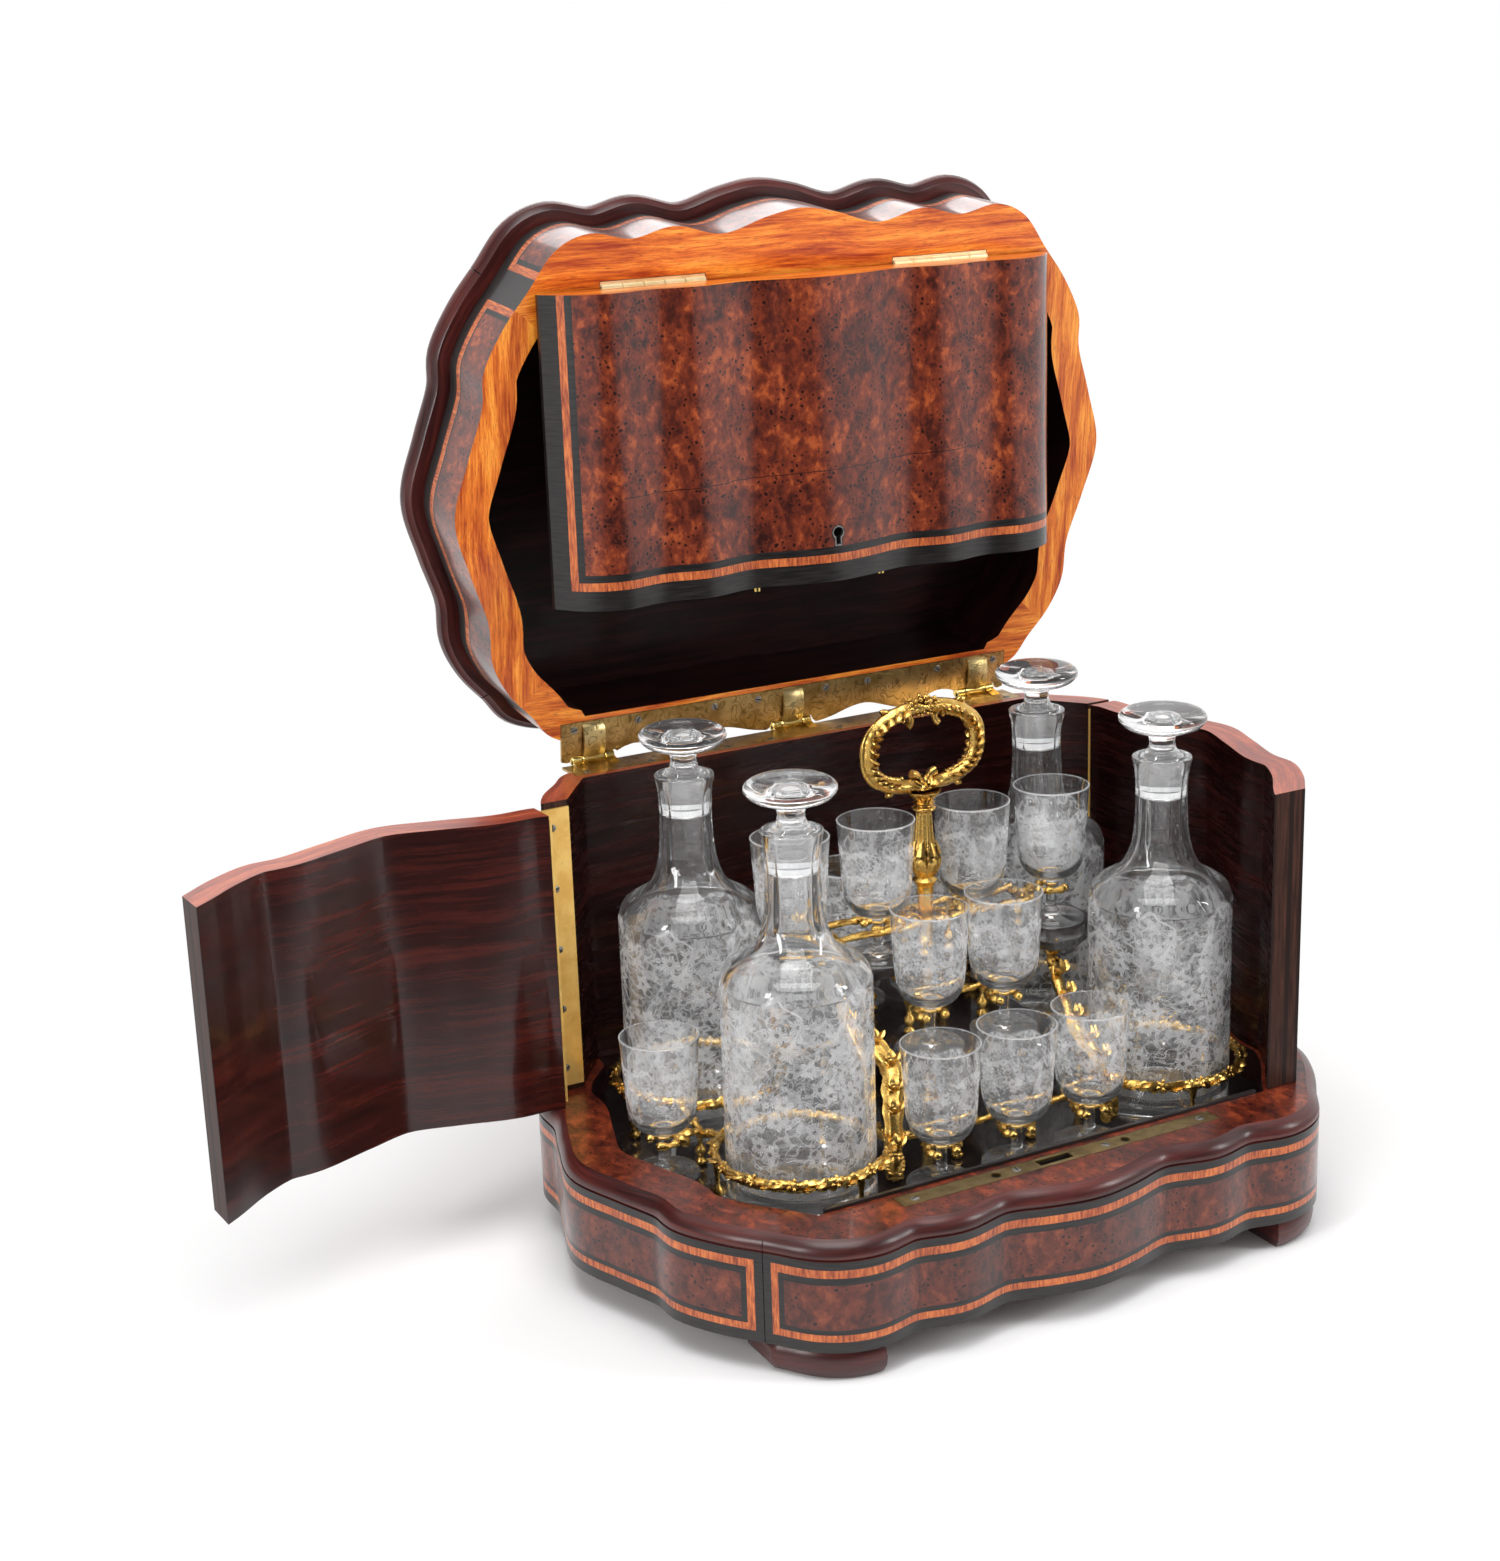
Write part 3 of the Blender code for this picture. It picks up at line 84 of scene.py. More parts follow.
STRIKE_HALF, STRIKE_FRONT, STRIKE_BACK = 0.0863, -0.1181, -0.1081
LATCH_LINE, DOWEL_X, DOWEL_HALF = -0.1131, 0.0353, 0.0021
# Left and right ends and half the depth, of the bolt's slot and of the lock's place.
BOLT_SLOT, LOCK_SEAT, LOCK_TALL = (-0.0129, 0.0051, 0.0024), (-0.0192, 0.0114, 0.0043), 0.0343

# The scene's own: the lid's straight inner lines, the edges of the hinges' plates, the places of straps
# and screws, how deep a plate is let in, and how far a cutting block passes a face.
LID_FRONT_LINE, LID_REAR_LINE, LID_STRAIGHT_HALF = 0.1012, 0.1062, 0.118
HINGE_NEAR, CASE_PLATE_FAR, CREST_EDGE, HOLLOW_EDGE, BARREL_EDGE = 0.1090, 0.1272, 0.1309, 0.1238, 0.1262
FLAP_LEAF_BACK, FLAP_LEAF_FRONT, FLAP_PIN, FLAP_PIN_RADIUS = 0.1058, 0.1034, 0.1031, 0.0015
STRAPS, BARREL_RADIUS = (-0.1127, 0.0, 0.1127), 0.0029
DOOR_SCREW_X, DOOR_SCREW_LOW, DOOR_SCREW_PITCH, PLATE_SCREW_Y = 0.1590, 0.0785, 0.0305, 0.1128
LET_IN, PIN_LET_IN, PAST = 0.0015, 0.0021, 0.004
# Lengths of the panels' faces, along the outline and upwards.
STEP, TALL_STEP = 0.0032, 0.012

ORIGIN = Matrix.Translation((0.076635, -0.01952, 0.0))


def turned_about(place, angle, axis):
    there, back = Matrix.Translation(place), Matrix.Translation(-Vector(place))
    return there @ Matrix.Rotation(angle, 4, axis) @ back


# How each body's shut place becomes its place at rest.
AT_REST = {
    "case": ORIGIN,
    "lid": ORIGIN @ turned_about(LID_AXIS, -LID_OPEN, "X"),
    "flap": ORIGIN @ Matrix.Translation(FLAP_DROP),
    "door_left": ORIGIN @ turned_about((-DOOR_AXIS[0], DOOR_AXIS[1], 0.0), -DOOR_OPEN, "Z"),
    "door_right": ORIGIN,
}


# Shader maths.

class Wire:
    """A shader value. Sums with it add their own Math nodes."""

    def __init__(self, finish, socket):
        self.finish, self.socket = finish, socket

    def sum(self, operation, *values):
        return self.finish.node("Math", {"operation": operation}, dict(enumerate(values)))

    def __add__(self, other):
        return self.sum("ADD", self, other)

    def __sub__(self, other):
        return self.sum("SUBTRACT", self, other)

    def __rsub__(self, other):
        return self.sum("SUBTRACT", other, self)

    def __mul__(self, other):
        return self.sum("MULTIPLY", self, other)

    def __pow__(self, other):
        return self.sum("POWER", self, other)

    __radd__, __rmul__ = __add__, __mul__

    def over(self, other):
        return self.sum("GREATER_THAN", self, other)

    def under(self, other):
        return self.sum("LESS_THAN", self, other)

    def least(self, other):
        return self.sum("MINIMUM", self, other)

    def most(self, other):
        return self.sum("MAXIMUM", self, other)

    def size(self):
        return self.sum("ABSOLUTE", self)

    def rise(self, low, high):
        """0 below low, 1 above high, and smooth between."""
        sockets = {"Value": self, "From Min": low, "From Max": high}
        return self.finish.node("MapRange", {"interpolation_type": "SMOOTHSTEP"}, sockets, "Result")


class Finish:
    """A material under construction."""

    def __init__(self, name, tree=None):
        if tree is None:
            self.material = bpy.data.materials.new(name)
            self.material.use_nodes = True
            tree = self.material.node_tree
        self.tree = tree
        tree.nodes.clear()

    def node(self, kind, settings=None, sockets=None, out=0):
        made = self.tree.nodes.new("ShaderNode" + kind)
        for key, value in (settings or {}).items():
            if key == "stops":
                self.set_stops(made.color_ramp, value)
            else:
                setattr(made, key, value)
        for key, value in (sockets or {}).items():
            if isinstance(value, Wire):
                self.tree.links.new(value.socket, made.inputs[key])
            else:
                made.inputs[key].default_value = value
        return Wire(self, made.outputs[out])

    @staticmethod
    def set_stops(ramp, stops):
        for place, _ in stops[2:]:
            ramp.elements.new(place)
        for element, (place, color) in zip(ramp.elements, stops):
            element.position = place
            element.color = (*color, 1.0)

    def flat(self):
        return self.node("UVMap", {"uv_map": "flat"})

    def local(self):
        return self.node("TexCoord", out="Object")

    def parts(self, coords):
        """The x, y and z of a place."""
        split = self.node("SeparateXYZ", None, {0: coords}).socket.node
        return [Wire(self, socket) for socket in split.outputs]

    def vector(self, operation, *values):
        return self.node("VectorMath", {"operation": operation}, dict(enumerate(values)))

    def stretched(self, coords, scale, turn=0.0):
        sockets = {"Vector": coords, "Rotation": (0.0, 0.0, turn), "Scale": scale}
        return self.node("Mapping", None, sockets)

    def pushed(self, coords, scale, reach):
        """The coordinates, wandering by up to half the reach."""
        away = self.vector("SUBTRACT", self.noise(coords, scale, 2.0, out="Color"), (0.5,) * 3)
        return self.vector("ADD", coords, self.vector("MULTIPLY", away, (reach,) * 3))

    def noise(self, coords, scale, detail=4.0, rough=0.55, out=0):
        sockets = {"Vector": coords, "Scale": scale, "Detail": detail, "Roughness": rough}
        return self.node("TexNoise", None, sockets, out)

    def ramp(self, value, stops):
        return self.node("ValToRGB", {"stops": stops}, {"Fac": value})

    def mix(self, share, below, above):
        below, above = (c if isinstance(c, Wire) else (*c, 1.0) for c in (below, above))
        return self.node("Mix", {"data_type": "RGBA"}, {0: share, 6: below, 7: above}, 2)

    def mix_shader(self, share, below, above):
        return self.node("MixShader", None, {0: share, 1: below, 2: above})

    def light_path(self, kind):
        return self.node("LightPath", out=kind)

    def bump(self, height, strength, distance):
        sockets = {"Height": height, "Strength": strength, "Distance": distance}
        return self.node("Bump", None, sockets)

    def principled(self, **sockets):
        named = {key.replace("_", " "): value for key, value in sockets.items()}
        return self.node("BsdfPrincipled", None, named)

    def close(self, shader, kind="OutputMaterial"):
        output = self.tree.nodes.new("ShaderNode" + kind)
        self.tree.links.new(shader.socket, output.inputs["Surface"])

    def finished(self, **sockets):
        self.close(self.principled(**sockets))
        return self.material


def dimmed(color, share):
    return tuple(c * share for c in color)


# Woods.

def burl_wood(name, deep, mid, warm, bright, coat=0.75, crack=False):
    """Thuya burl: blotched figure, short flames and clusters of small dark eyes."""
    f = Finish(name)
    place = f.flat()
    wander = f.pushed(place, 70.0, 0.014)
    clouds = f.noise(wander, 26.0, 2.0, 0.5)
    flames = f.noise(f.stretched(wander, (1.0, 0.55, 1.0), 0.25), 185.0, 5.0, 0.58)
    slant = f.stretched(f.pushed(place, 220.0, 0.006), (1.0, 0.5, 1.0), -0.4)
    tone = clouds * 0.30 + flames * 0.48 + f.noise(slant, 400.0, 3.0, 0.6) * 0.22
    color = f.ramp(tone, [(0.39, deep), (0.465, mid), (0.54, warm), (0.605, bright)])
    cells = {"Vector": f.pushed(place, 120.0, 0.004), "Scale": 300.0}
    cell = f.node("TexVoronoi", None, cells, "Distance")
    crowd = f.noise(place, 62.0, 3.0).rise(0.42, 0.50)
    eyes = (1 - cell.rise(0.16, 0.28)) * crowd
    halo = cell.rise(0.27, 0.35) * (1 - cell.rise(0.40, 0.58)) * crowd
    color = f.mix(halo * 0.55, color, warm)
    color = f.mix(eyes * 0.95, color, dimmed(deep, 0.3))
    if crack:
        color = f.mix(crack_line(f) * 0.85, color, (0.004, 0.002, 0.002))
    fine = f.noise(f.stretched(place, (1.0, 0.15, 1.0)), 2400.0, 2.0)
    color = f.mix(fine.rise(0.5, 0.8) * 0.22, color, deep)
    return f.finished(Base_Color=color, Roughness=0.26 + fine * 0.14, Coat_Weight=coat,
                      Normal=f.bump(tone + eyes * -0.5, 0.08, 0.0004),
                      Coat_Roughness=0.13, Specular_IOR_Level=0.25)


def crack_line(f):
    """An old crack along the flap, in the place that the flap has at rest."""
    low, slope, start, end = 0.3512, 0.022, -0.035, 0.165
    x, _, z = f.parts(f.local())
    wiggle = f.noise(f.local(), 160.0, 3.0) * 0.0016
    away = (z - (x * slope + low) - wiggle).size()
    line = away.under(0.00022 + (wiggle - 0.0008).size() * 0.12)
    return line * x.over(start) * x.under(end)


def grained_wood(name, dark, mid, light, coat=0.5, rough=0.32, pitch=1.0, shine=0.35, polish=0.10):
    """Straight-grained wood, with its grain along the piece's flat length."""
    f = Finish(name)
    place = f.flat()
    wander = f.pushed(place, 14.0, 0.010)
    broad = f.noise(f.stretched(wander, (0.10, 1.0, 1.0)), 130.0 * pitch, 5.0, 0.6)
    streaks = f.noise(f.stretched(wander, (0.035, 1.0, 1.0)), 520.0 * pitch, 4.0, 0.65)
    pores = f.noise(f.stretched(place, (0.05, 1.0, 1.0)), 3200.0, 2.0, 0.5)
    color = f.ramp(broad * 0.55 + streaks * 0.45, [(0.36, dark), (0.50, mid), (0.64, light)])
    color = f.mix(pores.rise(0.56, 0.72) * 0.45, color, dark)
    return f.finished(Base_Color=color, Roughness=rough + streaks * 0.10, Coat_Weight=coat,
                      Normal=f.bump(pores, 0.12, 0.0002),
                      Coat_Roughness=polish, Specular_IOR_Level=shine)


def streaked_wood(name, dark, mid, light, coat=0.55):
    """Bright solid rosewood: broad bands and thin dark red streaks along its length."""
    f = Finish(name)
    place = f.flat()
    wander = f.pushed(place, 9.0, 0.012)
    bands = f.noise(f.stretched(wander, (0.10, 1.0, 1.0)), 150.0, 4.0, 0.6)
    streaks = f.noise(f.stretched(wander, (0.045, 1.0, 1.0)), 900.0, 4.0, 0.7)
    dashes = f.noise(f.stretched(wander, (0.09, 1.0, 1.0)), 2000.0, 2.0, 0.6)
    color = f.ramp(bands * 0.6 + streaks * 0.4, [(0.38, dark), (0.50, mid), (0.61, light)])
    color = f.mix(dashes.rise(0.56, 0.70) * 0.55, color, dimmed(dark, 0.6))
    return f.finished(Base_Color=color, Roughness=0.26 + streaks * 0.12, Coat_Weight=coat,
                      Normal=f.bump(dashes, 0.08, 0.0002),
                      Coat_Roughness=0.14, Specular_IOR_Level=0.3)


def crossbanding(name, dark, mid, light):
    """Tulipwood laid across the line, with slanting dark pores."""
    f = Finish(name)
    place = f.flat()
    slant = f.noise(f.stretched(place, (1.0, 0.14, 1.0), 0.55), 900.0, 3.0, 0.6)
    tone = slant * 0.7 + f.noise(place, 60.0, 3.0) * 0.3
    color = f.ramp(tone, [(0.38, dark), (0.50, mid), (0.62, light)])
    return f.finished(Base_Color=color, Roughness=0.34 + slant * 0.1, Coat_Weight=0.5,
                      Coat_Roughness=0.12, Specular_IOR_Level=0.35)


def ebony_wood(name, local=False):
    f = Finish(name)
    place = f.local() if local else f.flat()
    grain = f.noise(f.stretched(place, (0.08, 1.0, 1.0)), 900.0, 3.0)
    color = f.ramp(grain, [(0.35, (0.006, 0.005, 0.005)), (0.65, (0.022, 0.018, 0.017))])
    return f.finished(Base_Color=color, Roughness=0.30 + grain * 0.12, Coat_Weight=0.4,
                      Normal=f.bump(grain, 0.06, 0.0002),
                      Coat_Roughness=0.10, Specular_IOR_Level=0.35)


def edge_strips(name):
    """A panel's free edge: a pale core between dark lines at its borders, and a dark line down its middle
    that is painted shade of a rebate.
    """
    f = Finish(name)
    place = f.flat()
    v = f.parts(place)[1]
    grain = f.noise(f.stretched(place, (0.06, 1.0, 1.0)), 800.0, 4.0)
    color = f.ramp(grain, [(0.35, (0.024, 0.008, 0.006)), (0.65, (0.068, 0.023, 0.013))])
    # The middle dark line, 6.2 mm in, is painted shade where a rebate's step would be; the border lines are
    # the edge's own.
    dark = (v - 0.0062).size().under(0.0011).most(v.under(0.0016)).most(v.over(0.0135))
    color = f.mix(dark, color, (0.018, 0.007, 0.005))
    return f.finished(Base_Color=color, Roughness=0.44 + grain * 0.1, Coat_Weight=0.06,
                      Coat_Roughness=0.2, Specular_IOR_Level=0.22)


def lacquer(name):
    """Black polish of the rack's boards, with fine rubbing marks."""
    f = Finish(name)
    rub = f.noise(f.local(), 180.0, 5.0, 0.7)
    color = f.ramp(rub, [(0.3, (0.008, 0.006, 0.006)), (0.7, (0.020, 0.014, 0.013))])
    return f.finished(Base_Color=color, Roughness=0.05 + rub * 0.12, Coat_Weight=0.6,
                      Coat_Roughness=0.04)


# Metals.

def brass_metal(name, pale, deep, rough, scratch=0.15, engraved=False, metal=1.0):
    f = Finish(name)
    place = f.local()
    cloud = f.noise(place, 70.0, 5.0, 0.65)
    color = f.mix(cloud.rise(0.40, 0.66), pale, deep)
    height = f.noise(f.stretched(place, (1.0, 0.06, 0.06)), 1800.0, 2.0) * scratch
    if engraved:
        swirl = f.noise(f.pushed(place, 60.0, 0.020), 95.0, 1.0, 0.4) * 8.0
        lines = (swirl.sum("FRACT", swirl) - 0.5).size().rise(0.34, 0.48)
        color = f.mix(lines * 0.55, color, (0.10, 0.065, 0.02))
        height = height + lines * -1.0
    return f.finished(Base_Color=color, Metallic=metal, Roughness=rough + cloud * 0.16,
                      Normal=f.bump(height, 0.35, 0.0002))


def gilt_metal(name):
    """Fire-gilt bronze, with painted shade: brown in the hollows that ambient occlusion finds, and bright
    on the high places.
    """
    f = Finish(name)
    place = f.local()
    painted_shade_occlusion = f.node("AmbientOcclusion", {"samples": 4}, {"Distance": 0.0030}, "AO")
    cloud = f.noise(place, 240.0, 4.0, 0.6)
    color = f.mix(cloud.rise(0.35, 0.7), (0.86, 0.56, 0.16), (0.74, 0.43, 0.10))
    # Painted shade: the colour turns dark brown where ambient occlusion finds a hollow.
    color = f.mix(1 - painted_shade_occlusion.rise(0.25, 0.85), color, (0.20, 0.085, 0.018))
    return f.finished(Base_Color=color, Metallic=1.0, Roughness=0.17 + cloud * 0.20,
                      Normal=f.bump(f.noise(place, 900.0, 3.0, 0.6), 0.45, 0.0003))


def steel_metal(name, color):
    f = Finish(name)
    cloud = f.noise(f.local(), 400.0, 4.0)
    shade = f.mix(cloud.rise(0.4, 0.7), color, dimmed(color, 0.5))
    return f.finished(Base_Color=shade, Metallic=1.0, Roughness=0.28 + cloud * 0.25)


# Crystal.

def crystal(name, engraving=None, white=0.82, gain=1.0):
    """Clear crystal with a faint bloom, and a share of frosted white where the engraving is."""
    f = Finish(name)
    clear = f.principled(Base_Color=(1.0, 1.0, 1.0, 1.0), Roughness=0.0, IOR=1.5,
                         Transmission_Weight=1.0)
    through = f.node("BsdfTransparent", None, {"Color": (0.93, 0.94, 0.94, 1.0)})
    body = f.mix_shader(f.light_path("Is Shadow Ray"), clear, through)
    facing = f.node("LayerWeight", None, {"Blend": 0.35}, "Facing")
    bloom = facing * facing * 0.10 + 0.008
    share = bloom if engraving is None else (engraving(f) * gain).most(bloom)
    frost = f.principled(Base_Color=(white, white, white * 1.01, 1.0), Roughness=0.6)
    f.close(f.mix_shader(share, body, frost))
    return f.material


def flowers(f, place, scale, petals, reach):
    """Small open flowers, scattered one to a cell."""
    cell = {"Vector": place, "Scale": scale, "Randomness": 0.75}
    middle = f.node("TexVoronoi", {"voronoi_dimensions": "2D"}, cell, "Position")
    x, y, _ = f.parts(f.vector("SUBTRACT", place, middle))
    distance = (x * x + y * y) ** 0.5 * scale
    turn = y.sum("ARCTAN2", y, x) * petals
    bloom = distance.under(turn.sum("COSINE", turn) * 0.25 * reach + reach)
    ribs = turn * 3.0
    veins = ribs.sum("SINE", ribs).over(0.2) * 0.35
    heart = distance.under(reach * 0.28)
    return (bloom - heart - bloom * veins).most(0.0)


def sprays(f, place, scale):
    """Curling stems: thin contour lines of a soft noise."""
    drift = f.noise(place, scale, 1.5, 0.4)
    return 1 - (drift - 0.5).size().rise(0.012, 0.026)


def garland(low, high, scale, rim):
    """The engraver's field: bows and loops at its top, flowers, leaves and stems below. Above it, a few
    small flowers, and a ground line at the rim."""
    def engraving(f):
        place, height = f.flat(), high - low
        u, v, _ = f.parts(place)
        swag = u * (math.tau * scale / 9.0)
        edge = v + swag.sum("COSINE", swag) * (0.05 * height)
        field = edge.rise(low, low + 0.12 * height) * (1 - edge.rise(high * 0.965, high))
        wander = f.pushed(place, scale * 0.4, 0.30 / scale)
        large = flowers(f, wander, scale * 0.30, 5.0, 0.27)
        small = flowers(f, wander, scale * 0.85, 6.0, 0.27)
        leaves = f.noise(f.stretched(wander, (1.0, 0.45, 1.0), 0.7), scale * 1.5, 1.0)
        crowd = f.noise(place, scale * 0.22, 2.0)
        filling = small.most(leaves.rise(0.575, 0.60) * 0.7) * crowd.rise(0.46, 0.56)
        slant = f.stretched(place, (0.6, 1.0, 1.0), 0.9)
        stems = sprays(f, wander, scale * 0.42).most(sprays(f, slant, scale * 0.7))
        ribbon = sprays(f, f.stretched(place, (1.0, 0.8, 1.0), 1.1), scale * 0.24)
        bows = ribbon * v.rise(high * 0.72, high * 0.86)
        work = large.most(stems * 0.7).most(bows).most(filling)
        hatch = f.noise(place, scale * 10.0, 2.0).rise(0.3, 0.6) * 0.4 + 0.6
        sprigs = flowers(f, place, scale * 0.42, 5.0, 0.10) * v.rise(high, high * 1.06)
        line = v.rise(rim, rim + 0.0004)
        veil = crowd.rise(0.32, 0.68) * 0.12 + 0.03
        return ((work * 0.38 * hatch + veil) * field + sprigs * 0.25 + line * 0.35).least(0.55)
    return engraving


def ground_plug(f):
    """The stopper's ground length, frosted all round, with a white ring at its lower end."""
    v = f.parts(f.flat())[1]
    ring = v.over(-0.0182) * v.under(-0.0155)
    return ring * 0.75 + v.under(-0.001) * 0.10


BURL_COLORS = ((0.026, 0.004, 0.003), (0.082, 0.0115, 0.005), (0.180, 0.027, 0.008),
               (0.37, 0.072, 0.016))
BURL = burl_wood("burl", *BURL_COLORS, coat=0.68)
FLAP_BURL = burl_wood("flap_burl", *BURL_COLORS, crack=True)
PLINTH_BURL = burl_wood("plinth_burl", (0.020, 0.0045, 0.003), (0.065, 0.011, 0.0065),
                        (0.125, 0.022, 0.010), (0.23, 0.048, 0.018))
LEDGE_BURL = burl_wood("ledge_burl", (0.020, 0.004, 0.003), (0.070, 0.011, 0.006),
                       (0.150, 0.024, 0.009), (0.28, 0.050, 0.016), coat=0.35)
ROSEWOOD = grained_wood("rosewood", (0.020, 0.004, 0.004), (0.062, 0.0095, 0.008),
                        (0.125, 0.020, 0.014), rough=0.36, polish=0.26)
MAHOGANY = grained_wood("mahogany", (0.010, 0.0022, 0.0018), (0.029, 0.0046, 0.0035),
                        (0.074, 0.0095, 0.0055), pitch=0.7, rough=0.20, shine=0.28)
# The mahogany darkened as painted shade, for the right door's and the back wall's inner faces.
SHADED_MAHOGANY = grained_wood("mahogany_painted_shade", (0.0035, 0.0010, 0.0009), (0.011, 0.0021, 0.0018),
                             (0.030, 0.0045, 0.0033), pitch=0.7, rough=0.22, coat=0.22, shine=0.18)
# Lining wood darkened as painted shade, for the insides of the recess and of the lid.
SHADED_LINING = grained_wood("lining_painted_shade", (0.0045, 0.0012, 0.0011), (0.014, 0.0034, 0.0030),
                     (0.030, 0.0068, 0.0055), coat=0.12, rough=0.36, shine=0.18)
LID_RIM = streaked_wood("lid_rim_wood", (0.34, 0.034, 0.004), (0.74, 0.172, 0.014), (0.98, 0.370, 0.045))
EDGE_RIM = streaked_wood("edge_wood", (0.17, 0.020, 0.008), (0.36, 0.055, 0.018), (0.56, 0.120, 0.035),
                         coat=0.3)
EDGE_STRIPS = edge_strips("edge_strips")
TULIP = crossbanding("tulipwood", (0.20, 0.030, 0.010), (0.46, 0.100, 0.024), (0.68, 0.190, 0.045))
EBONY = ebony_wood("ebony")
EBONY_BLOCK = ebony_wood("ebony_block", local=True)
LACQUER = lacquer("black_polish")
BRASS = brass_metal("brass", (0.90, 0.66, 0.22), (0.74, 0.47, 0.11), 0.15, 0.04)
DOOR_BRASS = brass_metal("door_brass", (1.0, 0.66, 0.20), (0.86, 0.50, 0.12), 0.22, 0.05, metal=0.55)
PALE_BRASS = brass_metal("pale_brass", (1.0, 0.84, 0.52), (0.88, 0.68, 0.36), 0.24, 0.05, metal=0.6)
OLD_BRASS = brass_metal("old_brass", (0.34, 0.25, 0.11), (0.20, 0.14, 0.06), 0.34)
ENGRAVED_BRASS = brass_metal("engraved_brass", (0.64, 0.43, 0.17), (0.36, 0.22, 0.07), 0.22, 0.08,
                             engraved=True)
STRAP_BRASS = brass_metal("strap_brass", (0.80, 0.62, 0.30), (0.60, 0.44, 0.18), 0.30, engraved=True)
GILT = gilt_metal("gilt")
STEEL = steel_metal("steel", (0.42, 0.41, 0.39))
# Near-black steel: painted shade for the screws' slots.
SLOT_SHADE = steel_metal("screw_slot_painted_shade", (0.03, 0.03, 0.03))
CLEAR = crystal("crystal")
DECANTER_GLASS = crystal("decanter_crystal", garland(0.012, 0.1045, 230.0, 0.2))
BOWL_GLASS = crystal("bowl_crystal", garland(0.0290, 0.0590, 430.0, GLASS_HEIGHT - 0.0004), 0.95, 0.78)
PLUG_GLASS = crystal("stopper_crystal", ground_plug)


# Shapes.

def up(height):
    return Vector((0.0, 0.0, height))


def towards(angle):
    return Vector((math.cos(angle), math.sin(angle), 0.0))


def around(count, closed=False):
    """Equal angles of a full turn. A closed one has its first angle again, a turn further."""
    return [math.tau * k / count for k in range(count + closed)]


def spaced(start, end, count):
    return [start + (end - start) * k / count for k in range(count + 1)]


def through(a, b, c, d, t):
    """A smooth curve's point, a share t of the way from b to c, with a before and d after them."""
    return 0.5 * (2 * b + (c - a) * t + (2 * a - 5 * b + 4 * c - d) * t**2
                  + (3 * b - a - 3 * c + d) * t**3)


def travelled(line):
    """The distance along a line at each of its points."""
    marks = [0.0]
    for a, b in zip(line, line[1:]):
        marks.append(marks[-1] + math.dist(a, b))
    return marks


def along(marks, place):
    """Which length of the marks holds the place, and the share of it that lies before the place."""
    i = min(max(bisect_right(marks, place) - 1, 0), len(marks) - 2)
    return i, (place - marks[i]) / (marks[i + 1] - marks[i])


def sheet(across, upwards):
    return [[(u, t) for u in across] for t in upwards]


def blended(outer, inner, shares=(0.0, 0.5, 1.0)):
    """Lines between two lines of (x, y)."""
    return [[(a[0] + (b[0] - a[0]) * t, a[1] + (b[1] - a[1]) * t) for a, b in zip(outer, inner)]
            for t in shares]


def reworked(mesh, step):
    """The mesh after a step on its faces and edges."""
    shape = bmesh.new()
    shape.from_mesh(mesh)
    step(shape)
    shape.to_mesh(mesh)
    shape.free()
    return mesh


def face_outwards(shape):
    bmesh.ops.recalc_face_normals(shape, faces=shape.faces)


def drop_empty_faces(shape):
    """For the faces that a profile's ends leave on the axis."""
    bmesh.ops.dissolve_degenerate(shape, dist=1e-7, edges=shape.edges)


def new_object(name, mesh):
    obj = bpy.data.objects.new(name, mesh)
    bpy.context.scene.collection.objects.link(obj)
    return obj


def new_mesh(name, points, faces):
    mesh = bpy.data.meshes.new(name)
    mesh.from_pydata(points, [], faces)
    return mesh


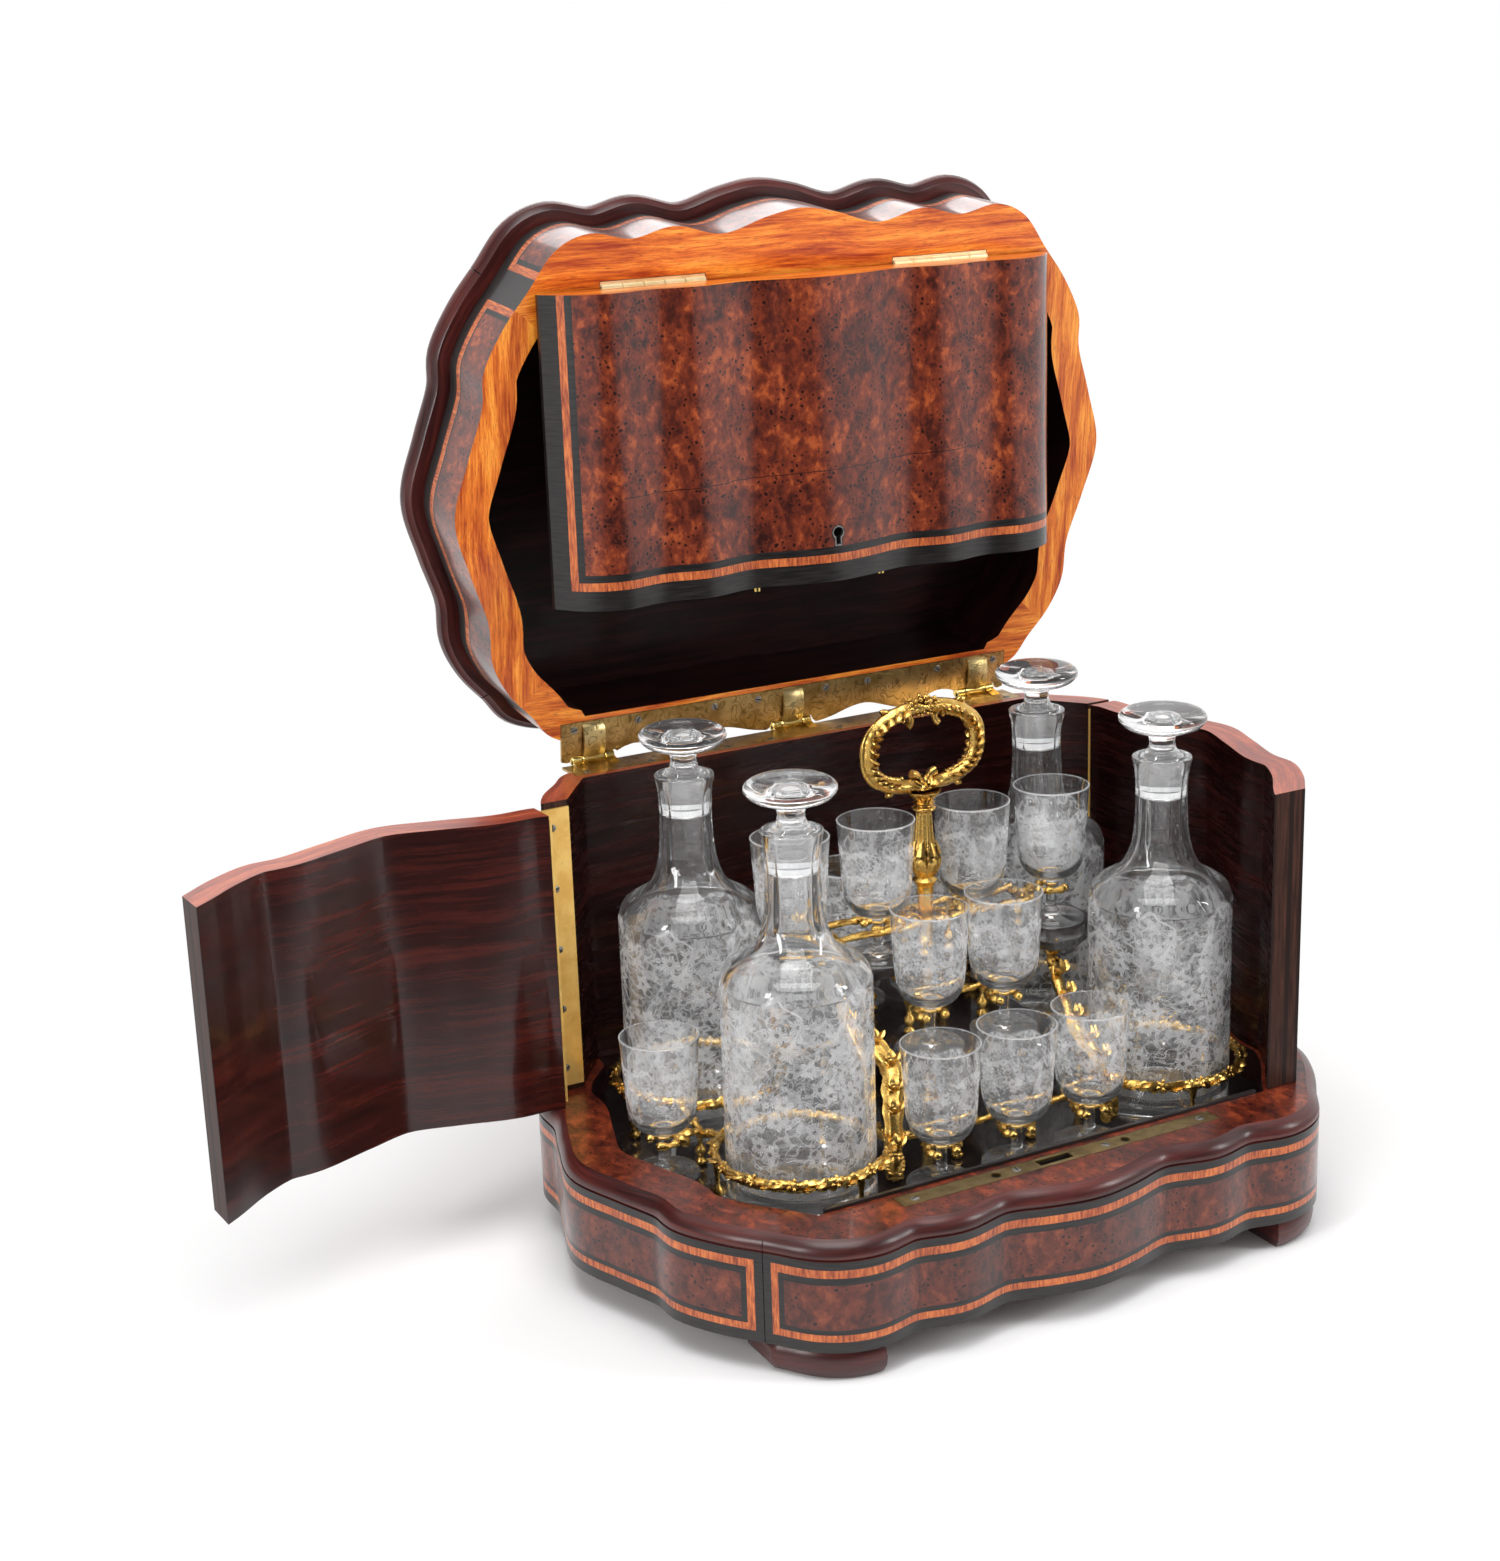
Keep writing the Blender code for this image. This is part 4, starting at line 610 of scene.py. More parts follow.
class Shell:
    """Gathers faces with their finishes and flat coordinates, then makes one piece of them."""

    def __init__(self):
        self.points, self.faces, self.flats, self.looks, self.finishes = [], [], [], [], []

    def face(self, corners, flats, finish):
        if finish not in self.finishes:
            self.finishes.append(finish)
        start = len(self.points)
        self.points += [tuple(c) for c in corners]
        self.faces.append(tuple(range(start, start + len(corners))))
        self.flats += [tuple(f) for f in flats]
        self.looks.append(self.finishes.index(finish))

    def grid(self, rows, flats, finish):
        """Rows of points, all as long. finish is a material, or a function of (row, column)."""
        for r in range(len(rows) - 1):
            for c in range(len(rows[r]) - 1):
                spots = ((r, c), (r, c + 1), (r + 1, c + 1), (r + 1, c))
                look = finish(r, c) if callable(finish) else finish
                self.face([rows[i][j] for i, j in spots], [flats[i][j] for i, j in spots], look)

    def wall(self, line, heights, flats, finish):
        """An upright skin on a line of (x, y)."""
        self.grid([[(x, y, z) for x, y in line] for z in heights], flats, finish)

    def shelf(self, lines, height, flats, finish):
        """A level skin over lines of (x, y)."""
        self.grid([[(x, y, height) for x, y in line] for line in lines], flats, finish)

    def end(self, outer, inner, heights, width, finish):
        """The upright end between an outer and an inner line."""
        rows = [[(x, y, z) for z in heights] for x, y in (outer, inner)]
        self.grid(rows, sheet(heights, (0.0, width)), finish)

    def cap(self, loop, height, finish):
        """A level face over a closed line, which has its first point again at its end."""
        self.face([(x, y, height) for x, y in loop[:-1]], loop[:-1], finish)

    def tube(self, rings, finish):
        """A skin over closed rings, and a face at both ends."""
        self.grid(rings, [[(0.0, 0.0)] * len(ring) for ring in rings], finish)
        for ring in (rings[0], rings[-1]):
            self.face(ring[:-1], [(0.0, 0.0)] * (len(ring) - 1), finish)

    def piece(self, name, body, nodes=(), sharp=32.0, cuts=(), place=None):
        mesh = new_mesh(name, self.points, self.faces)
        for finish in self.finishes:
            mesh.materials.append(finish)
        mesh.polygons.foreach_set("material_index", self.looks)
        layer = mesh.uv_layers.new(name="flat")
        layer.data.foreach_set("uv", [value for flat in self.flats for value in flat])

        def weld(shape):
            bmesh.ops.remove_doubles(shape, verts=shape.verts, dist=0.00002)
            face_outwards(shape)
        obj = new_object(name, reworked(mesh, weld))
        if cuts:
            carve(obj, cuts)
        return rest(obj, body, nodes, sharp, place)


def rest(obj, body, nodes=(), sharp=32.0, place=None):
    """Turns a piece from its shut place to rest, and hangs it on its body."""
    obj.data.transform(place or AT_REST.get(body, ORIGIN))
    obj.data.shade_smooth()
    obj.data.set_sharp_from_angle(angle=math.radians(sharp))
    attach(obj, body)
    if nodes:
        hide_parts(*nodes)
    return obj


def block(low, high):
    """A plain box as a mesh, used for cutting."""
    middle = (Vector(low) + Vector(high)) / 2
    size = Vector(high) - Vector(low)
    matrix = Matrix.Translation(middle) @ Matrix.Diagonal((*size, 1.0))
    return reworked(bpy.data.meshes.new("block"),
                    lambda shape: bmesh.ops.create_cube(shape, size=1.0, matrix=matrix))


def sliver(inner, outer, width, low, high, bite):
    """A thin upright wedge that opens a joint line in the outer face only."""
    a, b = Vector(outer), Vector(inner)
    inwards = (b - a).normalized()
    across = Vector((-inwards.y, inwards.x)) * width / 2
    a = a - inwards * 0.001
    b = a + inwards * (bite + 0.003)
    loop = [a + across, a - across, b - across, b + across]
    sides = [(k, (k + 1) % 4, (k + 1) % 4 + 4, k + 4) for k in range(4)]
    return new_mesh("sliver", [(p.x, p.y, z) for z in (low, high) for p in loop],
                    [(3, 2, 1, 0), (4, 5, 6, 7), *sides])


def carve(obj, cuts):
    """Cuts the closed meshes from the piece."""
    def join(shape):
        for cut in cuts:
            shape.from_mesh(cut)
        face_outwards(shape)
    tool = new_object("cuts", reworked(bpy.data.meshes.new("cuts"), join))
    step = obj.modifiers.new("cut", "BOOLEAN")
    step.operation, step.solver, step.object, step.use_self = "DIFFERENCE", "EXACT", tool, True
    step.material_mode = "TRANSFER"
    graph = bpy.context.evaluated_depsgraph_get()
    result = bpy.data.meshes.new_from_object(obj.evaluated_get(graph), preserve_all_data_layers=True,
                                             depsgraph=graph)
    obj.modifiers.clear()
    obj.data = result
    bpy.data.objects.remove(tool, do_unlink=True)


# The outline.

def knots():
    rear = [(x * HALF_WIDTH, y * REAR_DEPTH) for x, y in REAR_SHARES]
    front = [(x * HALF_WIDTH, -y * FRONT_DEPTH) for x, y in FRONT_SHARES]
    rear_left = [(-x, y) for x, y in reversed(rear[:-1])]
    front_left = [(-x, y) for x, y in front[1:]]
    return rear + rear_left + front_left + list(reversed(front[1:-1]))


class Outline:
    """The wavy outline by the distance along it, counter-clockwise from the right side's crest."""

    STEPS = 8

    def __init__(self):
        corners = [Vector(knot) for knot in knots()]
        count = len(corners)
        loop = [through(*(corners[(i + k) % count] for k in (-1, 0, 1, 2)), step / self.STEPS)
                for i in range(count) for step in range(self.STEPS)]
        self.points = loop + [loop[0]]
        self.ways = []
        for before, after in zip(loop[-1:] + loop, loop[1:] + loop[:1]):
            way = (after - before).normalized()
            self.ways.append(Vector((way.y, -way.x)))
        self.ways.append(self.ways[0])
        self.marks = travelled(self.points)
        self.length = self.marks[-1]

    def at(self, u, offset=0.0):
        i, share = along(self.marks, u % self.length)
        spot = self.points[i].lerp(self.points[i + 1], share)
        way = self.ways[i].lerp(self.ways[i + 1], share).normalized()
        return spot.x + offset * way.x, spot.y + offset * way.y

    def line(self, us, offset=0.0):
        return [self.at(u, offset) for u in us]

    def find(self, axis, value, start, end, offset=0.0):
        """The first distance from start to end at which the coordinate passes the value."""
        before = self.at(start, offset)[axis] - value
        for u in spaced(start, end, 600)[1:]:
            now = self.at(u, offset)[axis] - value
            if before * now <= 0:
                return u
            before = now
        return end


WAVE = Outline()
SEAMS = [WAVE.marks[i] for i in (39, 153, 231, 345)]
LID_CORNERS = [WAVE.marks[i] for i in (36, 156, 228, 348)]
RIGHT, BACK, LEFT, FRONT, ROUND = (WAVE.marks[i] for i in (0, 96, 192, 288, 384))


def stations(start, end, step, breaks=()):
    """Distances from start to end, about a step apart, with the breaks among them."""
    stops = sorted({start, end, *(b for b in breaks if start < b < end)})
    found = []
    for a, b in zip(stops, stops[1:]):
        found += spaced(a, b, max(1, math.ceil((b - a) / step)))[:-1]
    return found + [end]


# Veneered panels. An edging is three lines, ebony, tulipwood and ebony, by their widths.

FACE_BANDS = (9.5 * MM, 4.0 * MM, 3.6 * MM)
PLINTH_JOINT = (4.2 * MM, 3.6 * MM, 2.6 * MM)
PLINTH_LOW, PLINTH_HIGH = (5.2 * MM, 3.3 * MM, 2.3 * MM), (3.8 * MM, 3.8 * MM, 3.3 * MM)
LID_JOINT, LID_HIGH = (8.3 * MM, 4.0 * MM, 2.6 * MM), (7.9 * MM, 4.4 * MM, 1.2 * MM)
FIELD = 3


def level(distance, widths):
    """Which line of an edging lies this far from the edge: 0, 1 or 2, or else the field."""
    for number, width in enumerate(widths or ()):
        distance -= width
        if distance < 0:
            return number
    return FIELD


def edge_breaks(low, high, at_low, at_high):
    found = []
    for widths, place, sign in ((at_low, low, 1), (at_high, high, -1)):
        for width in widths or ():
            place += sign * width
            found.append(place)
    return found


def banded(shell, us, zs, offset, bands, field):
    """A veneered panel on the outline: a field inside nested lines. bands are the edgings at its left,
    right, low and high edges, or None for no edging there."""
    left, right, under, above = bands

    def look(r, c):
        u, z = (us[c] + us[c + 1]) / 2, (zs[r] + zs[r + 1]) / 2
        gaps = ((u - us[0], left), (us[-1] - u, right), (z - zs[0], under), (zs[-1] - z, above))
        return (EBONY, TULIP, EBONY, field)[min(level(gap, widths) for gap, widths in gaps)]

    shell.wall(WAVE.line(us, offset), zs, sheet(us, zs), look)


def seamed(widths):
    """Stations all round, with the breaks of an edging at both sides of each seam, and their panels."""
    breaks = list(SEAMS)
    for u in SEAMS:
        breaks += edge_breaks(u, u, widths, widths)
    us = stations(0.0, WAVE.length, STEP, breaks)
    return us, lengths(us, SEAMS, 1e-9)


def lengths(us, ends, before):
    """The stations from each end to the next, all round."""
    twice = us + [u + WAVE.length for u in us[1:]]
    return [[u for u in twice if a - before <= u <= b + 1e-9]
            for a, b in zip(ends, ends[1:] + [ends[0] + WAVE.length])]


def plain_rows(shell, rows, finish, us):
    """A skin along the whole outline over rows of (offset, height)."""
    points = [[(*spot, z) for spot in WAVE.line(us, offset)] for offset, z in rows]
    shell.grid(points, sheet(us, travelled(rows)), finish)


def recess_spot(u):
    x, y = WAVE.at(u, -RECESS_INSET)
    y = max(-FACE, min(FACE, y))
    return (x, FACE if y > HINGE_LINE and abs(x) < RETURN_CORNER else y)


def plinth():
    shell = Shell()
    us, panels = seamed(PLINTH_JOINT)
    zs = stations(FOOT_TOP, BAND_TOP, TALL_STEP, edge_breaks(FOOT_TOP, BAND_TOP, PLINTH_LOW, PLINTH_HIGH))
    for panel in panels:
        banded(shell, panel, zs, BAND_OUT, (PLINTH_JOINT, PLINTH_JOINT, PLINTH_LOW, PLINTH_HIGH),
               PLINTH_BURL)
    height = LEDGE_TOP - BAND_TOP
    section = ((1.0, 0.0), (0.90, 0.02), (0.90, 0.06), (0.985, 0.14), (1.0, 0.28), (0.97, 0.46),
               (0.89, 0.64), (0.76, 0.80), (0.62, 0.92), (0.50, 0.98), (0.4747, 1.0))
    plain_rows(shell, [(BAND_OUT * out, BAND_TOP + height * rise) for out, rise in section], ROSEWOOD, us)
    inner = [recess_spot(u) for u in us]
    rows = blended(WAVE.line(us, LEDGE_OUT), inner)
    shell.shelf(rows, LEDGE_TOP, rows, LEDGE_BURL)
    floor = BOARD_TOP - BOARD
    # The recess below the ledge takes the lining darkened as painted shade.
    shell.wall(inner, (LEDGE_TOP, floor), sheet(us, (0.0, 0.02)), SHADED_LINING)
    shell.cap(inner, floor, SHADED_LINING)
    shell.cap(WAVE.line(us, BAND_OUT), FOOT_TOP, ROSEWOOD)
    seat = LEDGE_TOP - LET_IN
    left, right, half = BOLT_SLOT
    cuts = [block((-STRIKE_HALF, STRIKE_FRONT, seat), (STRIKE_HALF, STRIKE_BACK, LEDGE_TOP + PAST)),
            block((left, LATCH_LINE - half, seat - 0.008), (right, LATCH_LINE + half, seat + 0.001))]
    for u in SEAMS:
        cuts.append(sliver(WAVE.at(u, LEDGE_OUT - 0.020), WAVE.at(u, BAND_OUT + 0.002), 0.00035,
                           FOOT_TOP - 0.001, LEDGE_TOP + 0.001, 0.0012))
    shell.piece("plinth_veneered", "case", ["plinth"], cuts=cuts)


def wall_slab(name, body, node, start, end, inner_spot, inside, cuts=()):
    """An upright panel on the outline: veneered outside, polished inside, with an edge of pale wood."""
    shell = Shell()
    us = stations(start, end, STEP, edge_breaks(start, end, FACE_BANDS, FACE_BANDS))
    zs = stations(PANEL_BOTTOM, RIM, TALL_STEP, edge_breaks(PANEL_BOTTOM, RIM, FACE_BANDS, FACE_BANDS))
    banded(shell, us, zs, 0.0, (FACE_BANDS,) * 4, BURL)
    outer, inner = WAVE.line(us), [inner_spot(u) for u in us]
    shell.wall(inner, zs, sheet(travelled(inner), zs), inside)
    for z in (PANEL_BOTTOM, RIM):
        shell.shelf((outer, inner), z, sheet(us, (0.0, WALL)), EDGE_RIM)
    for k in (0, -1):
        shell.end(outer[k], inner[k], zs, WALL, EDGE_STRIPS)
    shell.piece(name, body, [node], cuts=cuts)


def doors():
    line, front = HINGE_LINE - HINGE_LEAF, -(FACE - GAP)

    def ends(offset):
        """Where a door's faces start and end along the outline, on the right and on the left."""
        right = (WAVE.find(1, front, ROUND - 0.18, ROUND, offset),
                 WAVE.find(1, line, RIGHT, BACK, offset) + WAVE.length)
        left = (WAVE.find(1, line, BACK + 0.12, LEFT, offset), WAVE.find(1, front, LEFT, FRONT, offset))
        return {"right": right, "left": left}

    linings = ends(-WALL)
    for side, (start, end) in ends(0.0).items():
        first, last = linings[side]

        def inner_spot(u, start=start, end=end, first=first, last=last):
            return WAVE.at(first + (u - start) / (end - start) * (last - first), -WALL)
        # The right door's inner face takes the mahogany darkened as painted shade.
        wall_slab(f"{side}_door_panel", f"door_{side}", f"{side}_door", start, end, inner_spot,
                  MAHOGANY if side == "left" else SHADED_MAHOGANY)


def back_wall():
    line = HINGE_LINE + HINGE_LEAF
    start, end = WAVE.find(1, line, RIGHT, BACK), WAVE.find(1, line, BACK + 0.12, LEFT)
    inner_x = WAVE.at(start, -WALL)[0]
    runs = [(inner_x, line), (RETURN_CORNER, FACE), (-RETURN_CORNER, FACE), (-inner_x, line)]
    marks = travelled(runs)

    def inner_spot(u):
        i, t = along(marks, (u - start) / (end - start) * marks[-1])
        return tuple(a + (b - a) * t for a, b in zip(runs[i], runs[i + 1]))

    # The inner face takes the mahogany darkened as painted shade.
    wall_slab("back_wall_panel", "case", "back_wall", start, end, inner_spot, SHADED_MAHOGANY,
              [hinge_seat(RIM - LET_IN, RIM + PAST)])


def hinge_seat(low, high):
    """The place of the main hinge's plate."""
    half = MAIN_HINGE_HALF + GAP
    return block((-half, HINGE_NEAR - GAP, low), (half, 0.130, high))


def flap_hinge_seats(front, low, high):
    """The places of the flap hinges' plates, up to a line in front."""
    near, far = FLAP_HINGE_NEAR - GAP, FLAP_HINGE_FAR + GAP
    return [block((x0, -FLAP_LEAF_BACK - GAP, low), (x1, front, high))
            for x0, x1 in ((-far, -near), (near, far))]


def lid_spot(u):
    """The lid's inner edge: along the outline, but straight behind the flap and before the hinge."""
    x, y = WAVE.at(u, -LID_BAND)
    if abs(x) < LID_STRAIGHT_HALF:
        return x, LID_REAR_LINE if y > 0 else -LID_FRONT_LINE
    return x, max(-LID_FRONT_LINE, min(LID_REAR_LINE, y))


def lid_frame():
    shell = Shell()
    top = LID_TOP_BASE - GAP
    step_z = top - LID_STEP
    us, panels = seamed(LID_JOINT)
    zs = stations(LID_BOTTOM, step_z, TALL_STEP, edge_breaks(LID_BOTTOM, step_z, None, LID_HIGH))
    for panel in panels:
        banded(shell, panel, zs, 0.0, (LID_JOINT, LID_JOINT, None, LID_HIGH), BURL)
    plain_rows(shell, [(0.0, step_z), (-LID_STEP_INSET, step_z), (-LID_STEP_INSET, top)], EBONY, us)
    for number, part in enumerate(lengths(us, LID_CORNERS, 0.0033)):
        rows = blended(WAVE.line(part), [lid_spot(u) for u in part])
        # The grain runs along each length of the rim.
        flats = [[(x, y) if number % 2 == 0 else (y, x) for x, y in row] for row in rows]
        shell.shelf(rows, LID_BOTTOM, flats, LID_RIM)
    inner = [lid_spot(u) for u in us]
    # The lid's insides take the lining darkened as painted shade.
    shell.wall(inner, (LID_BOTTOM, top), sheet(us, (0.0, LID_HEIGHT)), SHADED_LINING)
    lines = [WAVE.line(us, -LID_STEP_INSET), inner]
    shell.shelf(lines, top, lines, SHADED_LINING)
    cuts = [hinge_seat(LID_BOTTOM - PAST, LID_BOTTOM + LET_IN),
            *flap_hinge_seats(-LID_FRONT_LINE + 0.003, LID_BOTTOM - PAST, RIM + PIN_LET_IN)]
    shell.piece("lid_frame_veneered", "lid", ["lid_frame"], cuts=cuts)


def lid_top():
    shell = Shell()
    us, _ = seamed(LID_JOINT)
    base, top, reach = LID_TOP_BASE, LID_TOP_BASE + LID_TOP_THICKNESS, 0.008
    section = ((-0.25, 0.0), (0.55, 0.0), (0.62, 0.05), (0.88, 0.14), (1.0, 0.32), (0.97, 0.52),
               (0.84, 0.72), (0.62, 0.86), (0.30, 0.95), (-0.25, 1.0), (-1.6, 1.0))
    plain_rows(shell, [(reach * out, base + LID_TOP_THICKNESS * rise) for out, rise in section],
               ROSEWOOD, us)
    before = reach * section[-1][0]
    for offset, finish in ((-0.0152, EBONY), (-0.0180, TULIP), (-0.0200, EBONY)):
        lines = [WAVE.line(us, o) for o in (before, offset)]
        shell.shelf(lines, top, sheet(us, (before, offset)), finish)
        before = offset
    shell.cap(WAVE.line(us, before), top, BURL)
    # The underside takes the lining darkened as painted shade.
    shell.cap(WAVE.line(us, -0.25 * reach), base, SHADED_LINING)
    cuts = [sliver(WAVE.at(u, -0.02), WAVE.at(u, 0.010), 0.0006, base - 0.001, top + 0.001, 0.004)
            for u in SEAMS]
    shell.piece("lid_top_moulded", "lid", ["lid_top"], cuts=cuts)


def flap():
    start = WAVE.find(0, -FLAP_HALF, LEFT + 0.06, FRONT)
    end = WAVE.find(0, FLAP_HALF, FRONT, ROUND - 0.06)
    low, high, across = PANEL_BOTTOM, RIM - GAP, (0.0, 0.02)
    shell = Shell()
    us = stations(start, end, STEP, edge_breaks(start, end, FACE_BANDS, None))
    zs = stations(low, high, TALL_STEP, edge_breaks(low, high, FACE_BANDS, None))
    banded(shell, us, zs, 0.0, (FACE_BANDS, None, FACE_BANDS, None), FLAP_BURL)
    outer = WAVE.line(us)
    inner = [(x, -FACE) for x, _ in outer]
    for z, finish in ((low, EBONY), (high, LID_RIM)):
        shell.shelf((outer, inner), z, sheet(us, across), finish)
    shell.wall(inner, zs, sheet([x for x, _ in inner], zs), MAHOGANY)
    for k in (0, -1):
        shell.end(outer[k], inner[k], zs, across[1], EBONY)
    left, right, half = LOCK_SEAT
    cuts = [block((left, LATCH_LINE - half, low - PAST), (right, -FACE + PAST, low + LOCK_TALL)),
            keyhole_bar(0.0011, -FRONT_DEPTH - PAST, LATCH_LINE)]
    for x in (-DOWEL_X, DOWEL_X):
        cuts.append(block((x - DOWEL_HALF, LATCH_LINE - DOWEL_HALF, low - PAST),
                          (x + DOWEL_HALF, LATCH_LINE + DOWEL_HALF, low + 0.0103)))
    cuts += flap_hinge_seats(PAST - FACE, RIM - PIN_LET_IN, RIM + PAST)
    shell.piece("front_flap_veneered", "flap", ["front_flap"], cuts=cuts)


def keyhole_bar(grow, front, rear):
    """A bar with a keyhole's outline, larger by grow, used for cutting."""
    radius, half, drop = 0.0026 + grow, 0.0012 + grow, -0.006 - grow
    turn = math.asin(half / radius)
    angles = spaced(turn - math.pi / 2, 1.5 * math.pi - turn, 20)
    ring = [(radius * math.cos(a), radius * math.sin(a)) for a in angles] + [(-half, drop), (half, drop)]
    middle = PANEL_BOTTOM + 0.0240
    count = len(ring)
    faces = [tuple(range(count)), tuple(range(2 * count - 1, count - 1, -1))]
    faces += [(i, i + count, (i + 1) % count + count, (i + 1) % count) for i in range(count)]
    points = [(x, y, middle + z) for y in (front, rear) for x, z in ring]
    return reworked(new_mesh("key", points, faces), face_outwards)


# Glassware. The profiles are (radius, height), in shares of the piece's own.

def eased(profile, steps):
    """A finer profile through its points. A repeated point keeps its corner."""
    found = []
    last = len(profile) - 1
    for i in range(last):
        b, c = Vector(profile[i]), Vector(profile[i + 1])
        if (c - b).length < 1e-9:
            continue
        a = Vector(profile[i - 1]) if i and profile[i - 1] != profile[i] else b
        d = Vector(profile[i + 2]) if i + 2 <= last and profile[i + 2] != profile[i + 1] else c
        for k in range(steps):
            p = through(a, b, c, d, k / steps)
            found.append((max(p.x, 0.0), p.y))
    return found + [tuple(profile[last])]


def scaled(shares, radius, height):
    return [(a * radius, b * height) for a, b in shares]


def lathe(profile, sides, finish, swell=None):
    """Turns the profile about +Z, with the finish up to its highest point and clear crystal beyond it.
    swell(angle, height) multiplies the radius."""
    shell = Shell()
    turn = max(range(len(profile)), key=lambda k: profile[k][1])
    angles = around(sides, closed=True)
    widest = max(r for r, _ in profile)
    rows = []
    for r, z in profile:
        spread = [r * (swell(a, z) if swell else 1.0) for a in angles]
        rows.append([(s * math.cos(a), s * math.sin(a), z) for s, a in zip(spread, angles)])
    flats = [[(a * widest, z) for a in angles] for _, z in profile]
    shell.grid(rows, flats, lambda r, c: finish if r < turn or finish is PLUG_GLASS else CLEAR)
    return shell


def facets(count, low, high, fade):
    """Flat cuts round a neck between two heights."""
    def swell(angle, z):
        share = min(max((z - low) / fade, 0.0), 1.0) * min(max((high - z) / fade, 0.0), 1.0)
        turn = (angle + math.pi / count) % (math.tau / count) - math.pi / count
        return 1 + (math.cos(math.pi / count) / math.cos(turn) - 1) * share
    return swell


def decanter():
    shares = [(0.0, 0.0012), (0.60, 0.0012), (0.92, 0.0), (0.92, 0.0), (0.985, 0.004), (1.0, 0.014),
              (1.0, 0.30), (1.0, 0.575), (0.995, 0.600), (0.955, 0.630), (0.87, 0.648), (0.76, 0.661),
              (0.62, 0.678), (0.53, 0.697), (0.475, 0.722), (0.425, 0.755), (0.39, 0.800),
              (0.370, 0.880), (0.375, 0.950), (0.405, 0.990), (0.41, 1.0), (0.395, 1.003),
              (0.33, 1.002), (0.311, 0.998), (0.284, 0.890), (0.275, 0.790), (0.30, 0.745),
              (0.36, 0.715), (0.50, 0.676), (0.68, 0.648), (0.82, 0.622), (0.885, 0.590),
              (0.90, 0.550), (0.90, 0.090), (0.88, 0.064), (0.80, 0.052), (0.40, 0.048), (0.0, 0.047)]
    profile = eased(scaled(shares, DECANTER_RADIUS, DECANTER_HEIGHT), 3)
    return lathe(profile, 72, DECANTER_GLASS, facets(8, 0.122, 0.170, 0.012))


def stopper():
    shares = [(0.42, 0.02), (0.40, 0.10), (0.33, 0.16), (0.30, 0.30), (0.32, 0.42), (0.40, 0.49),
              (0.62, 0.55), (0.86, 0.64), (0.985, 0.76), (1.0, 0.82), (0.97, 0.89), (0.84, 0.965),
              (0.60, 0.995), (0.30, 1.0), (0.0, 1.0)]
    plug = [(0.0, -0.0185), (0.0088, -0.0185), (0.0094, -0.0180), (0.0104, -0.0004)]
    profile = eased(plug + scaled(shares, STOPPER_RADIUS, STOPPER_HEIGHT), 3)
    return lathe(profile, 48, PLUG_GLASS, facets(8, 0.0015, 0.0135, 0.0015))


def liqueur_glass():
    shares = [(0.0, 0.008), (0.5, 0.004), (0.84, 0.0), (0.87, 0.006), (0.86, 0.020), (0.60, 0.038),
              (0.30, 0.055), (0.18, 0.078), (0.140, 0.120), (0.130, 0.200), (0.145, 0.275),
              (0.22, 0.305), (0.42, 0.322), (0.62, 0.352), (0.79, 0.415), (0.870, 0.50), (0.905, 0.62),
              (0.945, 0.80), (0.99, 0.985), (0.995, 1.0), (0.975, 1.003), (0.955, 0.99), (0.905, 0.80),
              (0.862, 0.62), (0.822, 0.51), (0.735, 0.435), (0.57, 0.385), (0.35, 0.362), (0.0, 0.355)]
    return lathe(eased(scaled(shares, GLASS_RADIUS, GLASS_HEIGHT), 3), 56, BOWL_GLASS)


def glass_places():
    low, mid, high = BOARD_TOP + GAP, MIDDLE_TOP + GAP, UPPER_TOP + GAP
    places = {}
    for i, x in enumerate((-ROW_PITCH, 0.0, ROW_PITCH)):
        places[f"glass_front_{i + 1}"] = (x, -ROW_Y, low)
        places[f"glass_rear_{i + 1}"] = (x, ROW_Y, low)
    for side, sx in (("left", -1), ("right", 1)):
        places[f"glass_side_{side}"] = (sx * SIDE_GLASS_X, 0.0, low)
        for end, sy in (("front", -1), ("rear", 1)):
            places[f"glass_middle_{end}_{side}"] = (sx * MIDDLE_GLASS[0], sy * MIDDLE_GLASS[1], mid)
        for row, x in zip(("inner", "outer"), UPPER_GLASSES):
            places[f"glass_upper_{row}_{side}"] = (sx * x, 0.0, high)
    return places


def glassware():
    floor = BOARD_TOP + GAP
    x, y = DECANTER_PLACE
    pieces = []
    for end, sy in (("front", -1), ("rear", 1)):
        for side, sx in (("left", -1), ("right", 1)):
            for kind, shape, z in (("decanter", decanter, floor),
                                   ("stopper", stopper, floor + DECANTER_HEIGHT + GAP)):
                pieces.append((f"{kind}_{end}_{side}", shape, (sx * x, sy * y, z)))
    pieces += [(name, liqueur_glass, place) for name, place in glass_places().items()]
    for name, shape, place in pieces:
        obj = shape().piece(f"{name}_crystal", name, [name], 50.0, place=ORIGIN @ Matrix.Translation(place))
        reworked(obj.data, drop_empty_faces)


# Gilt castings.

